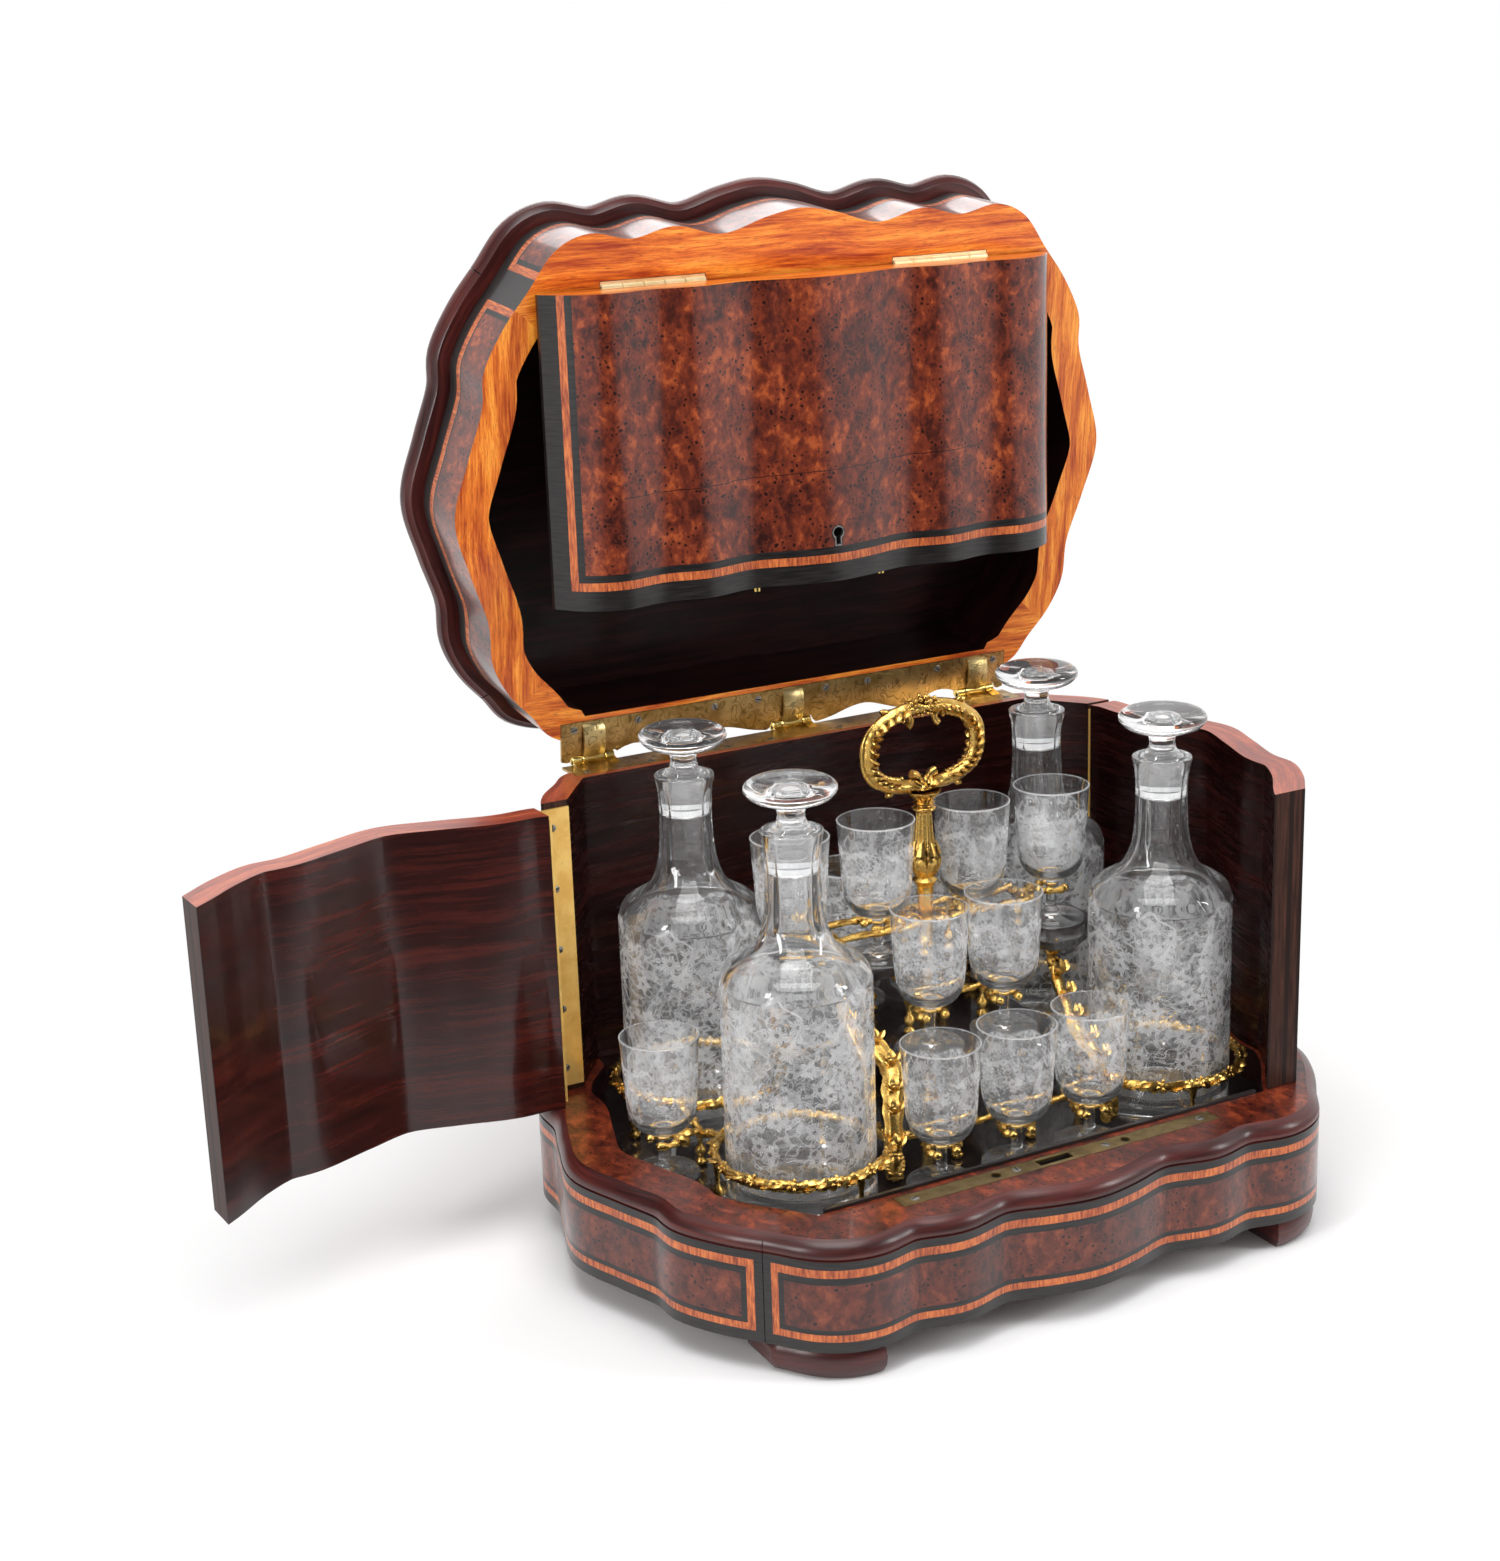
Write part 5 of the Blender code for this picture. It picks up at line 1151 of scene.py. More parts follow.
class Casting:
    """Gathers swept bars, knobs and petals into one gilt piece."""

    def __init__(self):
        self.shape = bmesh.new()

    def knob(self, middle, radii, turn=None, detail=2):
        turn = turn or Matrix.Identity(4)
        matrix = Matrix.Translation(middle) @ turn @ Matrix.Diagonal((*radii, 1.0))
        bmesh.ops.create_icosphere(self.shape, subdivisions=detail, radius=1.0, matrix=matrix)

    def skin(self, rings, closed=False):
        """Joins rings of the same count, with closed ends unless the row of rings is closed."""
        rows = [[self.shape.verts.new(p) for p in ring] for ring in rings]
        for low, high in list(zip(rows, rows[1:])) + ([(rows[-1], rows[0])] if closed else []):
            for a, b, c, d in zip(low, low[1:] + low[:1], high[1:] + high[:1], high):
                self.shape.faces.new((a, b, c, d))
        if not closed:
            self.shape.faces.new(rows[0][::-1])
            self.shape.faces.new(rows[-1])

    def bar(self, path, radius, sides=10, closed=False, flat=1.0, ridge=0.0, ridges=4,
            upwards=(0.0, 0.0, 1.0)):
        """A bar along the path. radius is a number or a function of the share along it."""
        path = [Vector(p) for p in path]
        count = len(path)
        rings = []
        for i, point in enumerate(path):
            before = path[i - 1] if i or closed else point
            after = path[(i + 1) % count] if i + 1 < count or closed else point
            way = (after - before).normalized()
            side = way.cross(Vector(upwards))
            side = side.normalized() if side.length > 1e-6 else way.orthogonal().normalized()
            top = side.cross(way)
            r = radius(i / max(count - 1, 1)) if callable(radius) else radius
            rings.append([point + r * (1 + ridge * math.cos(ridges * a))
                          * (math.cos(a) * side + flat * math.sin(a) * top) for a in around(sides)])
        self.skin(rings, closed)

    def turned(self, place, profile, sides=12):
        """A small turned piece, standing on its place."""
        self.skin([[Vector(place) + towards(a) * r + up(z) for a in around(sides)] for r, z in profile])

    def flower(self, middle, facing, size):
        """Five petals round a heart, facing outwards."""
        facing = Vector(facing).normalized()
        turn = facing.to_track_quat("Z", "Y").to_matrix().to_4x4()
        for a in around(5):
            away = turn @ towards(a) * size * 0.62
            spin = turn @ Matrix.Rotation(a, 4, "Z") @ Matrix.Rotation(-0.35, 4, "Y")
            self.knob(Vector(middle) + away, (size * 0.50, size * 0.36, size * 0.26), spin, 1)
        self.knob(Vector(middle) + facing * size * 0.18, (size * 0.26,) * 3, detail=1)

    def leaf(self, start, end, width, lift):
        """A ribbed leaf from start to end, swollen at its middle."""
        start, end, lift = Vector(start), Vector(end), Vector(lift)
        path = [start.lerp(end, t) + lift * math.sin(math.pi * t) for t in spaced(0.0, 1.0, 8)]
        self.bar(path, lambda t: width * (0.18 + 0.82 * math.sin(math.pi * min(t * 1.05, 1.0)) ** 0.7),
                 12, flat=0.45, ridge=0.16, ridges=5)

    def curl(self, spot, angle, way, size=1.0):
        """A small volute that stands off the handle's loop."""
        out = Vector((math.cos(angle), 0.0, math.sin(angle)))
        side = Vector((-math.sin(angle), 0.0, math.cos(angle))) * way
        path = []
        for t in spaced(0.0, 1.0, 15):
            r, turn = 0.0040 * size * (1 - 0.72 * t), 4.6 * t
            path.append(spot + side * 0.0012 + out * (r * math.cos(turn) + 0.0004)
                        + side * r * math.sin(turn))
        self.bar(path, lambda t: 0.0018 * size * (1 - 0.35 * t), 8, upwards=(0, 1, 0))
        for sy in (-1, 1):
            self.knob(path[-1] + Vector((0, sy * 0.0006, 0)), (0.0012 * size,) * 3, detail=1)

    def footed(self, x, y, base, rise):
        """A post on a small turned foot."""
        foot = [(0.0022, 0.0), (0.0028, 0.0006), (0.0028, 0.0022), (0.0014, 0.0032), (0.0013, 0.0040),
                (0.0026, 0.0056), (0.0028, 0.0070), (0.0024, 0.0084), (0.0012, 0.0096)]
        post = [(0.0011, rise * 0.7), (0.0018, rise * 0.82), (0.0020, rise)]
        self.turned((x, y, base + GAP), foot + post)

    def ring_band(self, x, y, z, radius):
        """A decanter's ring: a rough band with small flowers and leaves all round."""
        middle = Vector((x, y, z))
        rings = []
        for a in around(180):
            out = towards(a)
            ring = []
            for b in around(12):
                rough = noise.noise(Vector((a * 16.0, b * 1.3, x * 90 + y * 50))) * 0.55
                swell = 1 + 0.18 * math.cos(a * 44.0) * max(math.cos(b), 0.0) + rough
                ring.append(middle + out * (radius + 0.0019 * math.cos(b) * swell)
                            + up(0.0026 * math.sin(b) * swell))
            rings.append(ring)
        self.skin(rings, closed=True)
        for i, a in enumerate(around(26)):
            out = towards(a)
            spot = middle + out * (radius + 0.0008) + up(0.0012 if i % 2 else 0.0002)
            if i % 2:
                self.flower(spot, out + up(0.8), 0.0031)
                continue
            for sign in (-1, 1):
                side = Vector((-out.y, out.x, 0.0)) * sign * 0.0050
                self.leaf(spot, spot + side + up(0.0014 * sign), 0.0018, out * 0.0014)

    def fork(self, place, base, direction):
        """An open fork round a glass's stem, with ball ends, a leaf and a hanging foot."""
        x, y = place
        dx, dy = direction
        ahead, side = Vector((dx, dy, 0.0)), Vector((-dy, dx, 0.0))
        middle = Vector((x, y, base + FORK_RISE))
        heading, half = math.atan2(dy, dx), math.radians(50)
        path = [middle + FORK_RADIUS * towards(a)
                for a in spaced(heading + half, heading + math.tau - half, 24)]
        self.bar(path, lambda t: 0.0017 * (1 + 0.25 * math.sin(t * 30)), 8)
        for end in (path[0], path[-1]):
            self.knob(end, (0.0023, 0.0023, 0.0021))
        back, neck = middle - ahead * FORK_ARM, middle - ahead * FORK_RADIUS
        self.bar([neck, neck.lerp(back, 0.5) + up(0.0006), back], 0.0017, 8)
        self.leaf(neck.lerp(back, 0.1), neck.lerp(back, 0.85), 0.0031, up(0.0014))
        for sign in (-1, 1):
            self.leaf(neck, neck + side * sign * 0.0058 - ahead * 0.0022, 0.0021, up(0.0010))
        self.turned(neck.lerp(back, 0.35) - up(0.0052),
                    [(0.0020, 0.0), (0.0024, 0.0005), (0.0024, 0.0036), (0.0014, 0.0050)])

    def bars(self, path, radius=0.0018):
        """Links between fork and ring: wavy, with a flower and leaves on each long one."""
        for a, b in zip(path, path[1:]):
            a, b = Vector(a), Vector(b)
            wavy = [a.lerp(b, t) + up(0.0006 * math.sin(math.tau * t)) for t in spaced(0.0, 1.0, 10)]
            self.bar(wavy, lambda t: radius * (1 + 0.18 * math.cos(t * 25)), 8)
            if (b - a).length > 0.015:
                middle = a.lerp(b, 0.5)
                self.flower(middle + up(0.0012), (0, 0, 1), 0.0026)
                for t in (0.15, 0.85):
                    self.leaf(middle, a.lerp(b, t), 0.0022, up(0.0012))

    def scroll_leg(self, sx, sy):
        """A bowed leg with a shell on its knee and a scroll for its foot."""
        bottom, top = BOARD_TOP + GAP, UPPER_TOP - BOARD
        foot, knee, head = (0.0602, 0.0671), (0.0505, 0.0495), (0.0570, 0.0230)
        shares = [(foot, knee, *share) for share in ((0.03, 0.0), (0.10, 0.0), (0.25, 0.08),
                                                     (0.42, 0.286), (0.52, 0.62), (0.62, 1.0))]
        shares += [(knee, head, *share) for share in ((0.72, 0.36), (0.82, 0.692), (0.93, 0.96),
                                                      (1.0, 1.0))]
        path = [Vector((sx * (a[0] + (b[0] - a[0]) * lean), sy * (a[1] + (b[1] - a[1]) * lean),
                        bottom + (top - bottom) * rise)) for a, b, rise, lean in shares]
        last = len(path) - 1
        fine = [through(*(path[max(0, min(last, i + k))] for k in (-1, 0, 1, 2)), step / 5)
                for i in range(last) for step in range(5)] + path[-1:]
        outward = Vector((sx * 0.35, sy, 0.0)).normalized()
        across = outward.cross(up(1.0))
        self.bar(fine, lambda t: (0.0030 + 0.0014 * math.sin(math.pi * t) ** 2)
                 * (1 + 0.10 * math.sin(t * 60)), 16, flat=0.62, ridge=0.16, ridges=6, upwards=outward)
        knee_shell = fine[5] + outward * 0.0014 + up(0.0030)
        for k in range(6):
            z = (k - 2.5) * 0.0019
            width = 0.0040 * math.sqrt(max(1 - (z / 0.0068) ** 2, 0.05))
            rib = [knee_shell + across * width * t * 2 + up(z + 0.0010 * t)
                   + outward * 0.0016 * math.cos(math.pi * t) for t in spaced(-0.5, 0.5, 6)]
            self.bar(rib, 0.0010, 6, upwards=outward)
        self.knob(knee_shell, (0.0036, 0.0036, 0.0062))
        self.bar([path[0] + across * 0.0036 * sign + up(0.0026) for sign in (1, -1)], 0.0028, 14)
        for t in (0.22, 0.34, 0.46, 0.58, 0.70, 0.82, 0.92):
            spot = fine[int(t * (len(fine) - 1))]
            for sign in (-1, 1):
                tip = spot + outward * 0.0022 + across * sign * 0.0050 + up(0.0070)
                self.leaf(spot + outward * 0.0012, tip, 0.0022, outward * 0.0016)
            self.leaf(spot + outward * 0.002, spot + outward * 0.003 + up(0.0090), 0.0024,
                      outward * 0.0018)
        for a in around(10):
            spot = fine[-8] + across * 0.004 * math.cos(a) + up(0.004 * math.sin(a)) + outward * 0.001
            self.knob(spot, (0.0011,) * 3, detail=1)

    def piece(self, node):
        face_outwards(self.shape)
        mesh = bpy.data.meshes.new(f"{node}_cast")
        self.shape.to_mesh(mesh)
        self.shape.free()
        mesh.materials.append(GILT)
        rest(new_object(mesh.name, mesh), "rack", [node], 60.0)


def lower_gallery():
    cast = Casting()
    x, y = DECANTER_PLACE
    rise, low = BOARD_TOP + RING_RISE, BOARD_TOP + FORK_RISE
    for sx in (-1, 1):
        for sy in (-1, 1):
            cast.ring_band(sx * x, sy * y, rise, RING_RADIUS)
            for turn in (0.16, 0.5, 0.84):
                a = math.atan2(sy, sx) + math.tau * turn
                cast.footed(sx * x + RING_RADIUS * math.cos(a), sy * y + RING_RADIUS * math.sin(a),
                            BOARD_TOP, RING_RISE - 0.001)
            cast.scroll_leg(sx, sy)
        arm = SIDE_GLASS_X - FORK_ARM
        near = y - math.sqrt(RING_RADIUS**2 - (arm - x) ** 2)
        cast.bars([(sx * arm, -near, rise), (sx * arm, 0.0, low), (sx * arm, near, rise)])
        cast.fork((sx * SIDE_GLASS_X, 0.0), BOARD_TOP, (sx, 0))
        cast.footed(sx * arm, 0.0, BOARD_TOP, FORK_RISE)
    bar = ROW_Y - FORK_ARM
    reach = x - math.sqrt(RING_RADIUS**2 - (bar - y) ** 2)
    row = (-ROW_PITCH, 0.0, ROW_PITCH)
    for sy in (-1, 1):
        links = [(gx, sy * bar, low) for gx in row]
        cast.bars([(-reach, sy * bar, rise), *links, (reach, sy * bar, rise)])
        for gx in row:
            cast.fork((gx, sy * ROW_Y), BOARD_TOP, (0, sy))
        for gx in (-ROW_PITCH / 2, ROW_PITCH / 2):
            cast.footed(gx, sy * bar, BOARD_TOP, FORK_RISE)
    cast.piece("lower_gallery")


def middle_gallery():
    cast = Casting()
    gx, gy = MIDDLE_GLASS
    bar, z = gy - FORK_ARM, MIDDLE_TOP + FORK_RISE
    for sy in (-1, 1):
        cast.bars([(-gx - 0.0018, sy * bar, z), (gx + 0.0018, sy * bar, z)])
        cast.bars([(sy * 0.01, -bar, z), (sy * 0.01, bar, z)], 0.0015)
        for sx in (-1, 1):
            cast.fork((sx * gx, sy * gy), MIDDLE_TOP, (0, sy))
            cast.footed(sx * gx, sy * bar, MIDDLE_TOP, FORK_RISE)
    cast.piece("middle_gallery")


def upper_gallery():
    cast = Casting()
    z = UPPER_TOP + FORK_RISE
    inner, outer = (place - FORK_ARM for place in UPPER_GLASSES)
    for sx in (-1, 1):
        for px in (inner, outer):
            cast.bars([(sx * px, -0.0116, z), (sx * px, 0.0116, z)], 0.0015)
        for px, py in ((inner, 0.01), (inner, -0.01), (outer, 0.0)):
            cast.footed(sx * px, py, UPPER_TOP, FORK_RISE)
        for px in UPPER_GLASSES:
            cast.fork((sx * px, 0.0), UPPER_TOP, (sx, 0))
    for py in (-0.01, 0.01):
        cast.bars([(px, py, z) for px in (-outer - 0.0018, -0.0085, 0.0085, outer + 0.0018)])
    cast.piece("upper_gallery")


COLUMN_FOOT, COLUMN_TOP, COLUMN_RADIUS = BOARD_TOP + GAP, 0.2107, 0.0075
COLUMN_PROFILE = (
    (1.0, 0.0), (1.02, 0.012), (0.58, 0.03), (0.50, 0.20), (0.66, 0.215), (0.50, 0.23), (0.48, 0.50),
    (0.62, 0.52), (0.50, 0.54), (0.52, 0.68), (0.60, 0.71), (0.82, 0.725), (0.62, 0.735), (0.80, 0.75),
    (0.94, 0.77), (0.94, 0.79), (0.80, 0.82), (0.66, 0.845), (0.60, 0.87), (0.55, 0.90), (0.52, 0.925),
    (0.52, 0.938), (0.74, 0.942), (0.76, 0.950), (0.54, 0.954), (0.54, 0.960), (0.70, 0.965),
    (0.58, 0.970), (0.62, 0.976), (0.84, 0.986), (1.08, 0.995), (1.12, 1.0),
)


def handle_column():
    """A fluted column with a calyx of leaves and a flared head."""
    cast = Casting()
    height = COLUMN_TOP - COLUMN_FOOT

    def fluted(a, rise):
        if 0.75 < rise < 0.84:
            return 0.92 + 0.16 * abs(math.cos(4 * a)) ** 0.6
        if 0.84 <= rise < 0.938:
            return 1 - 0.15 * abs(math.cos(5 * a)) ** 4
        return 1 - 0.12 * abs(math.cos(4 * a)) ** 3 if rise > 0.972 else 1.0

    rings = []
    for out, rise in eased(COLUMN_PROFILE, 2):
        rings.append([towards(a) * out * COLUMN_RADIUS * fluted(a, rise) + up(COLUMN_FOOT + height * rise)
                      for a in around(80)])
    cast.skin(rings)
    # Each row of leaves: turn, then radius and share of the height at both ends, width and swell.
    for turn, r0, low, r1, high, width, swell in ((0.0, 0.0050, 0.740, 0.0054, 0.848, 0.0023, 0.0022),
                                                  (0.5, 0.0034, 0.968, 0.0086, 1.0, 0.0021, -0.0008)):
        for k in range(8):
            a = math.tau * (k + turn) / 8
            out = towards(a)
            cast.leaf(out * r0 + up(COLUMN_FOOT + height * low), out * r1 + up(COLUMN_FOOT + height * high),
                      width, out * swell)
    cast.piece("handle_column")


def handle_loop():
    """The loop of scrolls and leaves, a rounded oblong that is flatter below."""
    cast = Casting()
    half, tall, rod, level_up = 0.0297, 0.0190, 0.0030, (0, 1, 0)
    centre = COLUMN_TOP + tall + rod

    def on_loop(a, out=0.0):
        """The place at an angle. out is measured away from the loop's middle line."""
        c, s = math.cos(a), math.sin(a)
        square = 0.88 if s > 0 else 0.74
        spot = Vector((half * math.copysign(abs(c) ** square, c), 0.0,
                       centre + tall * math.copysign(abs(s) ** square, s)))
        return spot + Vector((tall * c, 0.0, half * s)).normalized() * out

    cast.bar([on_loop(a) for a in around(200)],
             lambda t: 0.0033 * (1 + 0.12 * noise.noise(Vector((t * 40.0, 3.0, 1.0)))), 16, closed=True,
             upwards=level_up, ridge=0.10, ridges=4)
    for way in (1, -1):
        def turned_way(a, way=way):
            return math.pi / 2 - way * (math.pi / 2 - a)
        # The inner scroll, from the foot up to a hook beside the crest.
        inner = [on_loop(turned_way(-1.25 + 2.42 * t), -0.0034 + 0.0010 * math.sin(math.pi * t))
                 for t in spaced(0.0, 1.0, 40)]
        cast.bar(inner, lambda t: 0.0013 * (1 + 0.25 * math.cos(t * 150.0)), 9, upwards=level_up)
        cast.curl(on_loop(turned_way(1.20), -0.0042), turned_way(1.20) + math.pi, -way)
        # The outer scroll, lying along the side.
        outer = [on_loop(turned_way(-0.95 + 1.75 * t), 0.0026 + 0.0009 * math.sin(math.pi * t))
                 for t in spaced(0.0, 1.0, 30)]
        cast.bar(outer, lambda t: 0.0014 * math.sin(math.pi * min(max(t, 0.04), 0.96)) ** 0.5, 9,
                 upwards=level_up)
        for a, size in ((0.84, 0.75), (-0.98, 0.70)):
            cast.curl(on_loop(turned_way(a), 0.0014), turned_way(a), way if a > 0 else -way, size)
        for a in spaced(-1.15, 1.10, 12):
            for sy in (-1, 1):
                lean = Vector((0, sy * 0.0027, 0))
                cast.leaf(on_loop(turned_way(a), -0.0022) + lean,
                          on_loop(turned_way(a + 0.22), 0.0012) + lean, 0.0022, (0, sy * 0.0013, 0))
    crest = on_loop(math.pi / 2, 0.0008)
    for dx, dz, size in ((0, 0.0016, 0.0038), (-0.0054, 0.0006, 0.0034), (0.0054, 0.0006, 0.0034),
                         (0.0026, -0.0026, 0.0026), (-0.0026, -0.0026, 0.0026),
                         (-0.0090, -0.0006, 0.0026), (0.0090, -0.0006, 0.0026)):
        for sy in (-1, 1):
            cast.flower(crest + Vector((dx, sy * 0.0024, dz)), (dx * 20, sy, 0.4), size)
    base = up(centre - tall)
    for k in range(9):
        a = math.pi * (k + 0.5) / 9
        for sy in (-1, 1):
            tip = base + Vector((0.0092 * math.cos(a), sy * 0.0016, 0.0046 * math.sin(a)))
            cast.leaf(base + Vector((0, sy * 0.0022, -0.0022)), tip, 0.0016, (0, sy * 0.0018, 0))
    for way in (1, -1):
        cast.curl(base + Vector((way * 0.0078, 0.0, 0.0006)), math.pi / 2, way, 1.25)
    cast.knob(base - up(0.0010), (0.0084, 0.0050, 0.0024))
    cast.piece("handle_loop")


# Small fittings.

def feet():
    """Rounded feet that follow the corners: each starts at its seam and runs towards the front or rear."""
    rows = ((0.0060, FOOT_TOP), (0.0078, 0.0120), (0.0085, 0.0080), (0.0080, 0.0040), (0.0062, 0.0010),
            (0.0050, 0.0))
    front_run, rear_run, past_seam, depth_in = 0.047, 0.050, 0.002, 0.022
    rear_right, rear_left, front_left, front_right = SEAMS
    runs = (("front_left", front_left + past_seam, front_left + front_run),
            ("front_right", front_right - front_run, front_right - past_seam),
            ("rear_right", rear_right - past_seam, rear_right + rear_run),
            ("rear_left", rear_left - rear_run, rear_left + past_seam))
    for key, start, end in runs:
        us = stations(start, end, 0.0030)
        first, last = WAVE.at(start), WAVE.at(end)
        middle_x = (first[0] + last[0]) / 2
        depth = depth_in if first[1] + last[1] < 0 else -depth_in
        rings = []
        for out, _ in rows:
            front = WAVE.line(us, out)
            drawn_in = 0.0012 * (1 - (out - 0.0050) / 0.0035) / 0.025
            loop = front + [(front[-1][0], front[-1][1] + depth), (front[0][0], front[0][1] + depth)]
            loop = [(x + (middle_x - x) * drawn_in, y) for x, y in loop]
            rings.append(loop + loop[:1])
        shell = Shell()
        heights = [z for _, z in rows]
        shell.grid([[(x, y, z) for x, y in ring] for ring, z in zip(rings, heights)],
                   sheet([k * 0.003 for k in range(len(rings[0]))], heights), ROSEWOOD)
        for k in (0, -1):
            shell.cap(rings[k], heights[k], ROSEWOOD)
        shell.piece(f"foot_{key}_rounded", "case", [f"foot_{key}"])


def hinge_edge(x):
    """The lid plate's outer edge: down to the case at the outline's crests, open over its hollows and clear
    of the barrels."""
    u = WAVE.find(0, x, BACK - 0.16, BACK + 0.16)
    edge = max(CREST_EDGE - 0.66 * max(REAR_DEPTH - WAVE.at(u)[1], 0.0), HOLLOW_EDGE)
    near = min(abs(x - place) for place in STRAPS)
    clear = min(max((near - 0.0118) / 0.0020, 0.0), 1.0)
    return min(edge, BARREL_EDGE + (CREST_EDGE - BARREL_EDGE) * clear * clear * (3 - 2 * clear))


def main_hinge():
    """Two engraved plates, three straps and the barrels. The lid's plate has a wavy outer edge."""
    xs = spaced(-MAIN_HINGE_HALF, MAIN_HINGE_HALF, 180)
    near = [(x, HINGE_NEAR) for x in xs]
    lid_far, case_far = [(x, hinge_edge(x)) for x in xs], [(x, CASE_PLATE_FAR) for x in xs]
    for body, far, low, high in (("lid", lid_far, LID_BOTTOM, LID_BOTTOM + PLATE),
                                 ("case", case_far, RIM - PLATE, RIM)):
        shell = Shell()
        flats = sheet(xs, (0.0, 0.01))
        for z in (low, high):
            shell.shelf((near, far), z, flats, ENGRAVED_BRASS)
        for line in (near, far):
            shell.wall(line, (low, high), flats, ENGRAVED_BRASS)
        for k in (0, -1):
            shell.end(near[k], far[k], (low, high), 0.0, ENGRAVED_BRASS)
        for place in STRAPS:
            if body == "lid":
                strap(shell, place)
                barrel(shell, place - 0.006, place + 0.006)
                continue
            for sign in (-1, 1):
                start = place + sign * 0.0088 - 0.0025
                barrel(shell, start, start + 0.005)
                lug(shell, start, start + 0.005)
        shell.piece(f"main_hinge_{body}_leaf", body, [f"lid_hinge_{body}_leaf"])


def barrel(shell, start, end):
    _, y, z = LID_AXIS
    wide, bevel = BARREL_RADIUS, 0.0004
    stops = ((start, wide - bevel), (start + bevel, wide), (end - bevel, wide), (end, wide - bevel))
    shell.tube([[(x, y + r * math.cos(a), z + r * math.sin(a)) for a in around(18, closed=True)]
                for x, r in stops], BRASS)


def lug(shell, start, end):
    """The bridge from the case's plate to a barrel."""
    corners = [(0.1200, RIM), (LID_AXIS[1], RIM), (LID_AXIS[1], RIM + 0.0024), (0.1230, RIM + 0.0006)]
    shell.tube([[(x, y, z) for y, z in corners + corners[:1]] for x in (start, end)], BRASS)


def strap(shell, place):
    """A domed, engraved tongue from the lid's plate over to the barrel."""
    half, line = 0.0058, ((0.1100, 0.0000), (0.1112, 0.0016), (0.1140, 0.0027), (0.1180, 0.0034),
                          (0.1225, 0.0030), (0.1262, 0.0018), (0.1290, 0.0002))
    rings = []
    for y, drop in line:
        z = LID_BOTTOM - drop
        ring = [(place + half * t, y, z + 0.0008 * t * t) for t in spaced(-1.0, 1.0, 8)]
        ring += [(place + half * sign, y, z + 0.0022) for sign in (1, -1)]
        rings.append(ring + ring[:1])
    shell.tube(rings, STRAP_BRASS)


def flap_hinges():
    """Narrow butt hinges between the lid's rim and the flap: a thin line of brass when folded."""
    back, front, radius, knuckles = -FLAP_LEAF_BACK, -FLAP_LEAF_FRONT, FLAP_PIN_RADIUS, 5
    for side, x0, x1 in (("left", -FLAP_HINGE_FAR, -FLAP_HINGE_NEAR),
                         ("right", FLAP_HINGE_NEAR, FLAP_HINGE_FAR)):
        pitch = (x1 - x0) / knuckles
        for first, body, low in ((0, "lid", LID_BOTTOM), (1, "flap", RIM - GAP - PLATE)):
            shell = Shell()
            high = low + PLATE
            corners = [(back, low), (front, low), (front, high), (back, high), (back, low)]
            shell.tube([[(x, y, z) for y, z in corners] for x in (x0, x1)], PALE_BRASS)
            for k in range(first, knuckles, 2):
                ends = (x0 + k * pitch + 0.0002, x0 + (k + 1) * pitch - 0.0002)
                shell.tube([[(x, radius * math.cos(t) - FLAP_PIN, RIM + radius * math.sin(t))
                             for t in around(14, closed=True)] for x in ends], PALE_BRASS)
            shell.piece(f"flap_hinge_{side}_{body}_plate", body, [f"flap_hinge_{side}_{body}_leaf"])


def screw(name, body, spot, facing, spin, radius=0.0021):
    """A countersunk screw, a hair proud of its plate, with a near-black bar on its head as painted shade
    for its slot.
    """
    shell = Shell()
    profile = [(0.0, 0.0), (radius, 0.0), (radius, 0.00012), (radius * 0.86, 0.00030), (0.0, 0.00034)]
    angles = around(20, closed=True)
    shell.grid([[(r * math.cos(a), r * math.sin(a), z) for a in angles] for r, z in profile],
               [[(0.0, 0.0)] * len(angles) for _ in profile], STEEL)
    # The slot is painted shade: a near-black bar that stands 0.08 mm above the head instead of a cut.
    half, wide, high = radius * 0.84, radius * 0.13, 0.00042
    slot = [(sx * half, sy * wide) for sx, sy in ((-1, -1), (1, -1), (1, 1), (-1, 1), (-1, -1))]
    shell.tube([[(x, y, z) for x, y in slot] for z in (0.0, high)], SLOT_SHADE)
    turn = Vector(facing).to_track_quat("Z", "Y").to_matrix().to_4x4()
    local = Matrix.Translation(spot) @ turn @ Matrix.Rotation(spin, 4, "Z")
    reworked(shell.piece(name, body, place=AT_REST[body] @ local).data, drop_empty_faces)


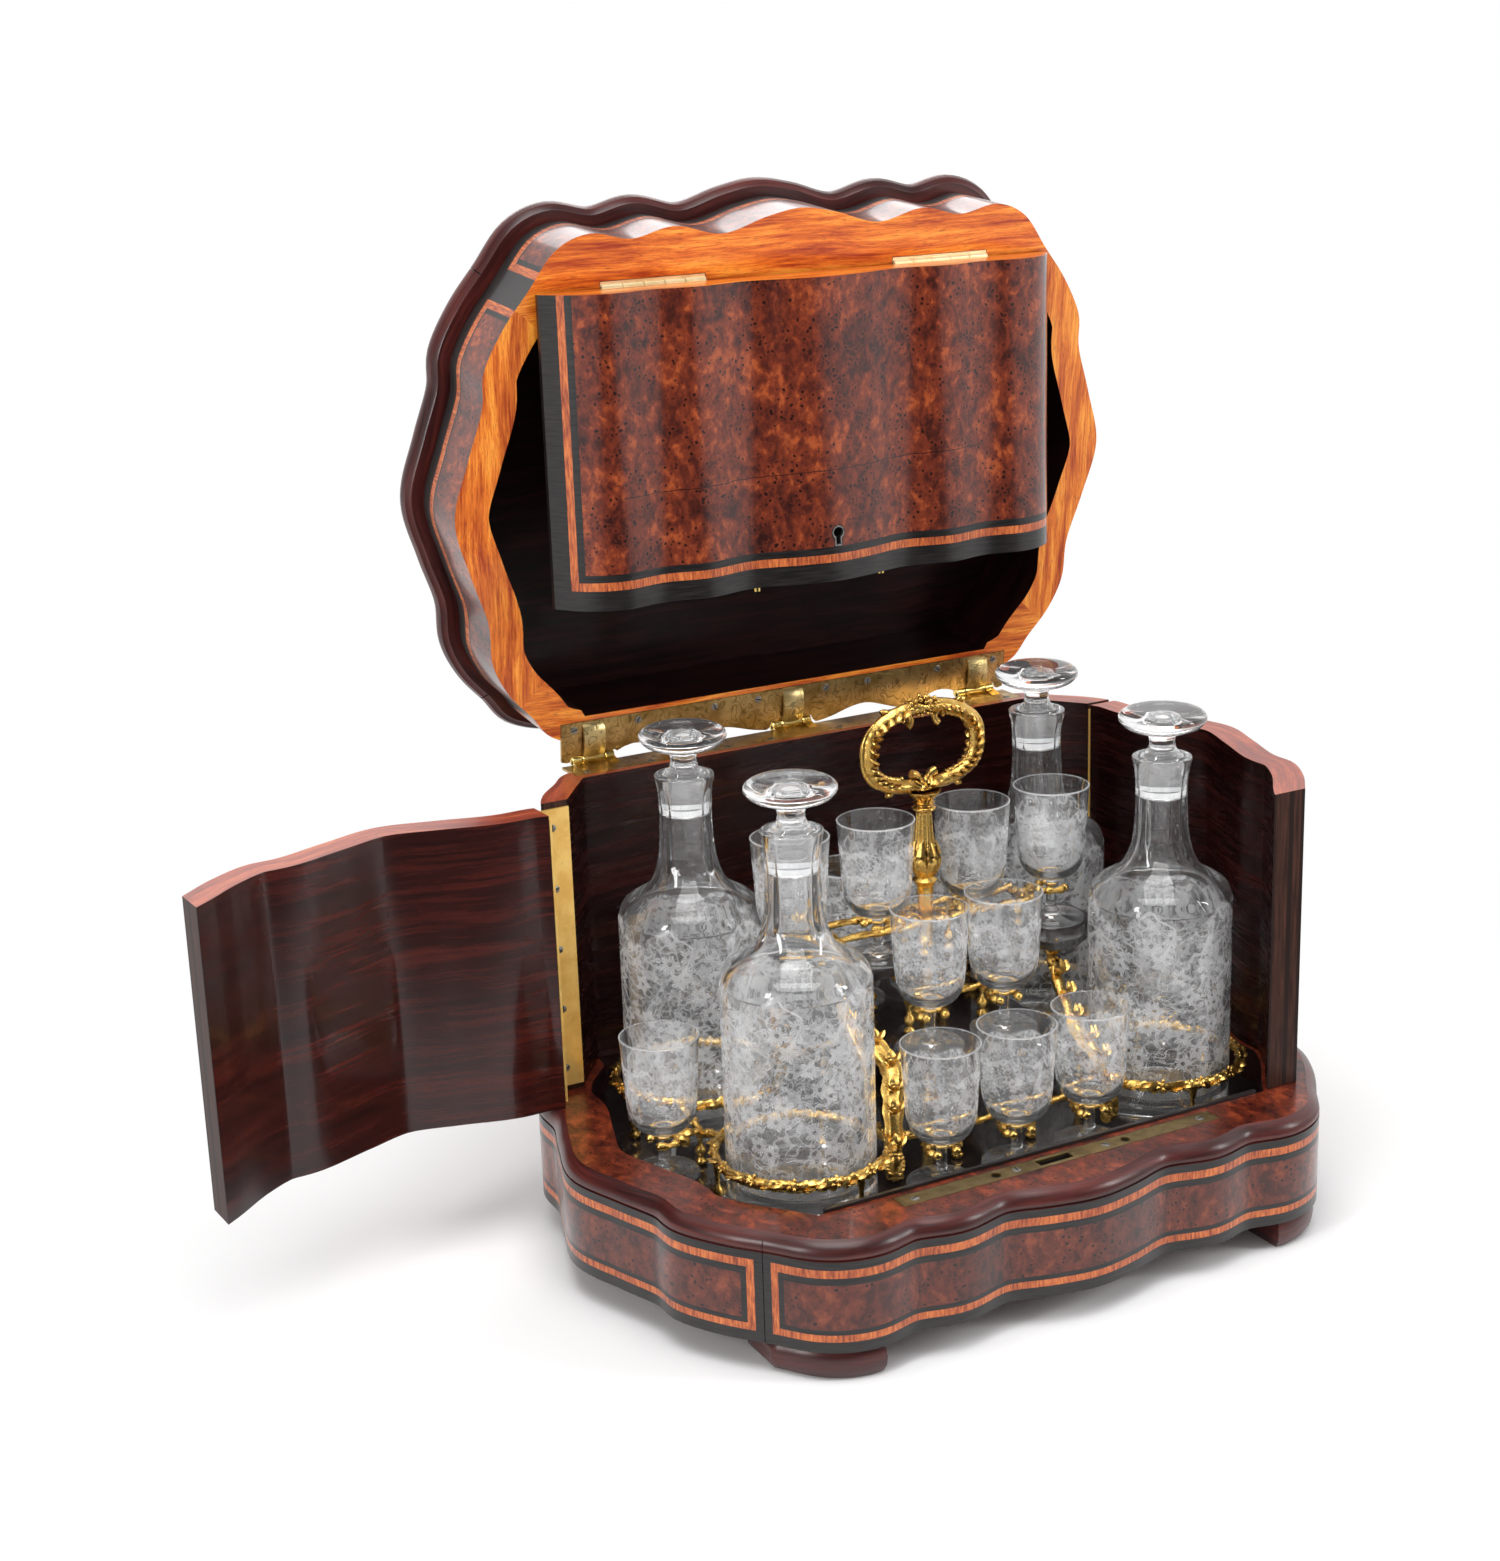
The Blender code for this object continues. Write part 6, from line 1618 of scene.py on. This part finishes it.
def fittings():
    for i, x in enumerate((-0.078, -0.0245, 0.0245, 0.078)):
        screw(f"strike_screw_{i + 1}", "case", (x, LATCH_LINE, LEDGE_TOP), (0, 0, 1), 0.4 + i)
    for side, sx in (("left", -1), ("right", 1)):
        for i in range(5):
            x, z, forward = sx * DOOR_SCREW_X, DOOR_SCREW_LOW + DOOR_SCREW_PITCH * i, (0, -1, 0)
            # Sunk in the wall's leaf, so that the door's leaf shuts over them.
            screw(f"{side}_hinge_wall_screw_{i + 1}", "case", (x, HINGE_LINE + 0.00045, z), forward,
                  0.3 + i * 1.1)
            screw(f"{side}_hinge_door_screw_{i + 1}", f"door_{side}", (x, HINGE_LINE - 0.0015, z), forward,
                  0.9 + i * 0.8)
    for i, x in enumerate((-0.123, -0.088, -0.045, -0.020, 0.020, 0.045, 0.088, 0.123)):
        screw(f"lid_leaf_screw_{i + 1}", "lid", (x, PLATE_SCREW_Y, LID_BOTTOM), (0, 0, -1), 0.2 + i * 0.9,
              0.0019)
        screw(f"case_leaf_screw_{i + 1}", "case", (x, PLATE_SCREW_Y, RIM), (0, 0, 1), 0.7 + i * 0.7, 0.0019)


def dress_frame():
    """Finishes of the CAD pieces that stay."""
    looks = {"strike_plate": OLD_BRASS, "front_bead": EBONY_BLOCK, "rack_board": LACQUER,
             "middle_platform": LACQUER, "upper_platform": LACQUER, "escutcheon": STEEL,
             "lock_case": OLD_BRASS, "lock_bolt": STEEL}
    for name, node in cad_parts.items():
        if name.startswith("dowel_"):
            looks[name] = BRASS
        if "hinge_wall" in name or "hinge_door" in name:
            looks[name] = DOOR_BRASS
        if name in looks:
            node.data.materials.clear()
            node.data.materials.append(looks[name])


# Studio.

WHITE, BLACK = (1.0, 1.0, 1.0), (0.0, 0.0, 0.0)


def studio():
    scene = bpy.context.scene
    scene.view_settings.view_transform = "Standard"
    scene.world = bpy.data.worlds.new("studio")
    scene.world.use_nodes = True
    f = Finish("studio", scene.world.node_tree)
    x, y, _ = f.parts(f.node("TexCoord", out="Generated"))
    behind = (y * 0.9 + x * 0.45).rise(-0.25, 0.45)
    seen = (f.light_path("Is Camera Ray") + f.light_path("Is Transmission Ray")).least(1.0)
    glossy = f.light_path("Is Glossy Ray") * (1 - seen)
    level = seen + glossy * (behind * 0.92 + 0.05) + (1 - seen - glossy).most(0.0) * 0.52
    color = f.mix(level, BLACK, WHITE)
    f.close(f.node("Background", None, {"Color": color, "Strength": 1.0}), "OutputWorld")

    s, under = 6.0, -0.0002
    corners = [(-s, -s, under), (s, -s, under), (s, s, under), (-s, s, under)]
    floor = new_object("floor", new_mesh("floor", corners, [(0, 1, 2, 3)]))
    f = Finish("floor_paper")
    x, y, _ = f.parts(f.local())
    x, y = x - 0.0766, y + 0.0195
    far = ((x * x + y * y) ** 0.5).rise(0.22, 0.52)
    plain = f.principled(Base_Color=(0.93, 0.93, 0.93, 1.0), Roughness=0.9, Specular_IOR_Level=0.0)
    direct = (f.light_path("Is Camera Ray") + f.light_path("Is Transmission Ray")).least(1.0)
    glossy = f.light_path("Is Glossy Ray") * (1 - direct)
    bright = (x.rise(0.30, 1.05) * 0.95).most(y.rise(-0.3, 0.3)).most(1 - x.rise(-1.3, -0.55))
    shine = f.mix(direct + glossy * (bright * 0.95 + 0.05), BLACK, WHITE)
    glow = f.node("Emission", None, {"Color": shine, "Strength": 1.0})
    f.close(f.mix_shader(far * (direct + glossy), plain, glow))
    floor.data.materials.append(f.material)

    # Name, place, aim, width, height and power.
    lamps = (
        ("top_softbox", (-0.20, -0.45, 1.85), (0.08, 0.0, 0.15), 1.35, 1.15, 22.0),
        ("left_softbox", (-1.60, -0.55, 0.80), (0.05, 0.0, 0.20), 0.22, 0.70, 9.5),
        ("right_softbox", (1.35, -1.15, 0.90), (0.08, 0.0, 0.20), 0.22, 0.70, 9.5),
        ("back_softbox", (0.5, 1.5, 1.3), (0.08, 0.0, 0.2), 1.2, 0.8, 6.0),
    )
    for name, place, aim, wide, tall, power in lamps:
        lamp = bpy.data.lights.new(name, "AREA")
        lamp.shape, lamp.size, lamp.size_y, lamp.energy = "RECTANGLE", wide, tall, power
        holder = new_object(name, lamp)
        holder.location = place
        holder.rotation_euler = (Vector(aim) - Vector(place)).to_track_quat("-Z", "Y").to_euler()


def camera():
    """The photograph's view: turned 27.8 degrees, 16.6 down, with a slight roll."""
    yaw, pitch, roll = math.radians(27.84), math.radians(16.64), math.radians(1.985)
    ahead = Vector((math.sin(yaw) * math.cos(pitch), math.cos(yaw) * math.cos(pitch), -math.sin(pitch)))
    right = Vector((math.cos(yaw), -math.sin(yaw), 0.0))
    down = ahead.cross(right)
    across = right * math.cos(roll) + down * math.sin(roll)
    below = down * math.cos(roll) - right * math.sin(roll)
    lens = bpy.data.cameras.new("camera")
    lens.lens, lens.sensor_width = 57.98, 36.0
    holder = new_object("camera", lens)
    turn = Matrix((across, -below, -ahead)).transposed()
    spot = ORIGIN @ Vector((-0.6039, -0.9680, 0.5585))
    holder.matrix_world = Matrix.Translation(spot) @ turn.to_4x4()
    bpy.context.scene.camera = holder


dress_frame()
for build in (plinth, doors, back_wall, lid_frame, lid_top, flap, glassware, lower_gallery, middle_gallery,
              upper_gallery, handle_column, handle_loop, feet, main_hinge, flap_hinges, fittings, studio,
              camera):
    build()
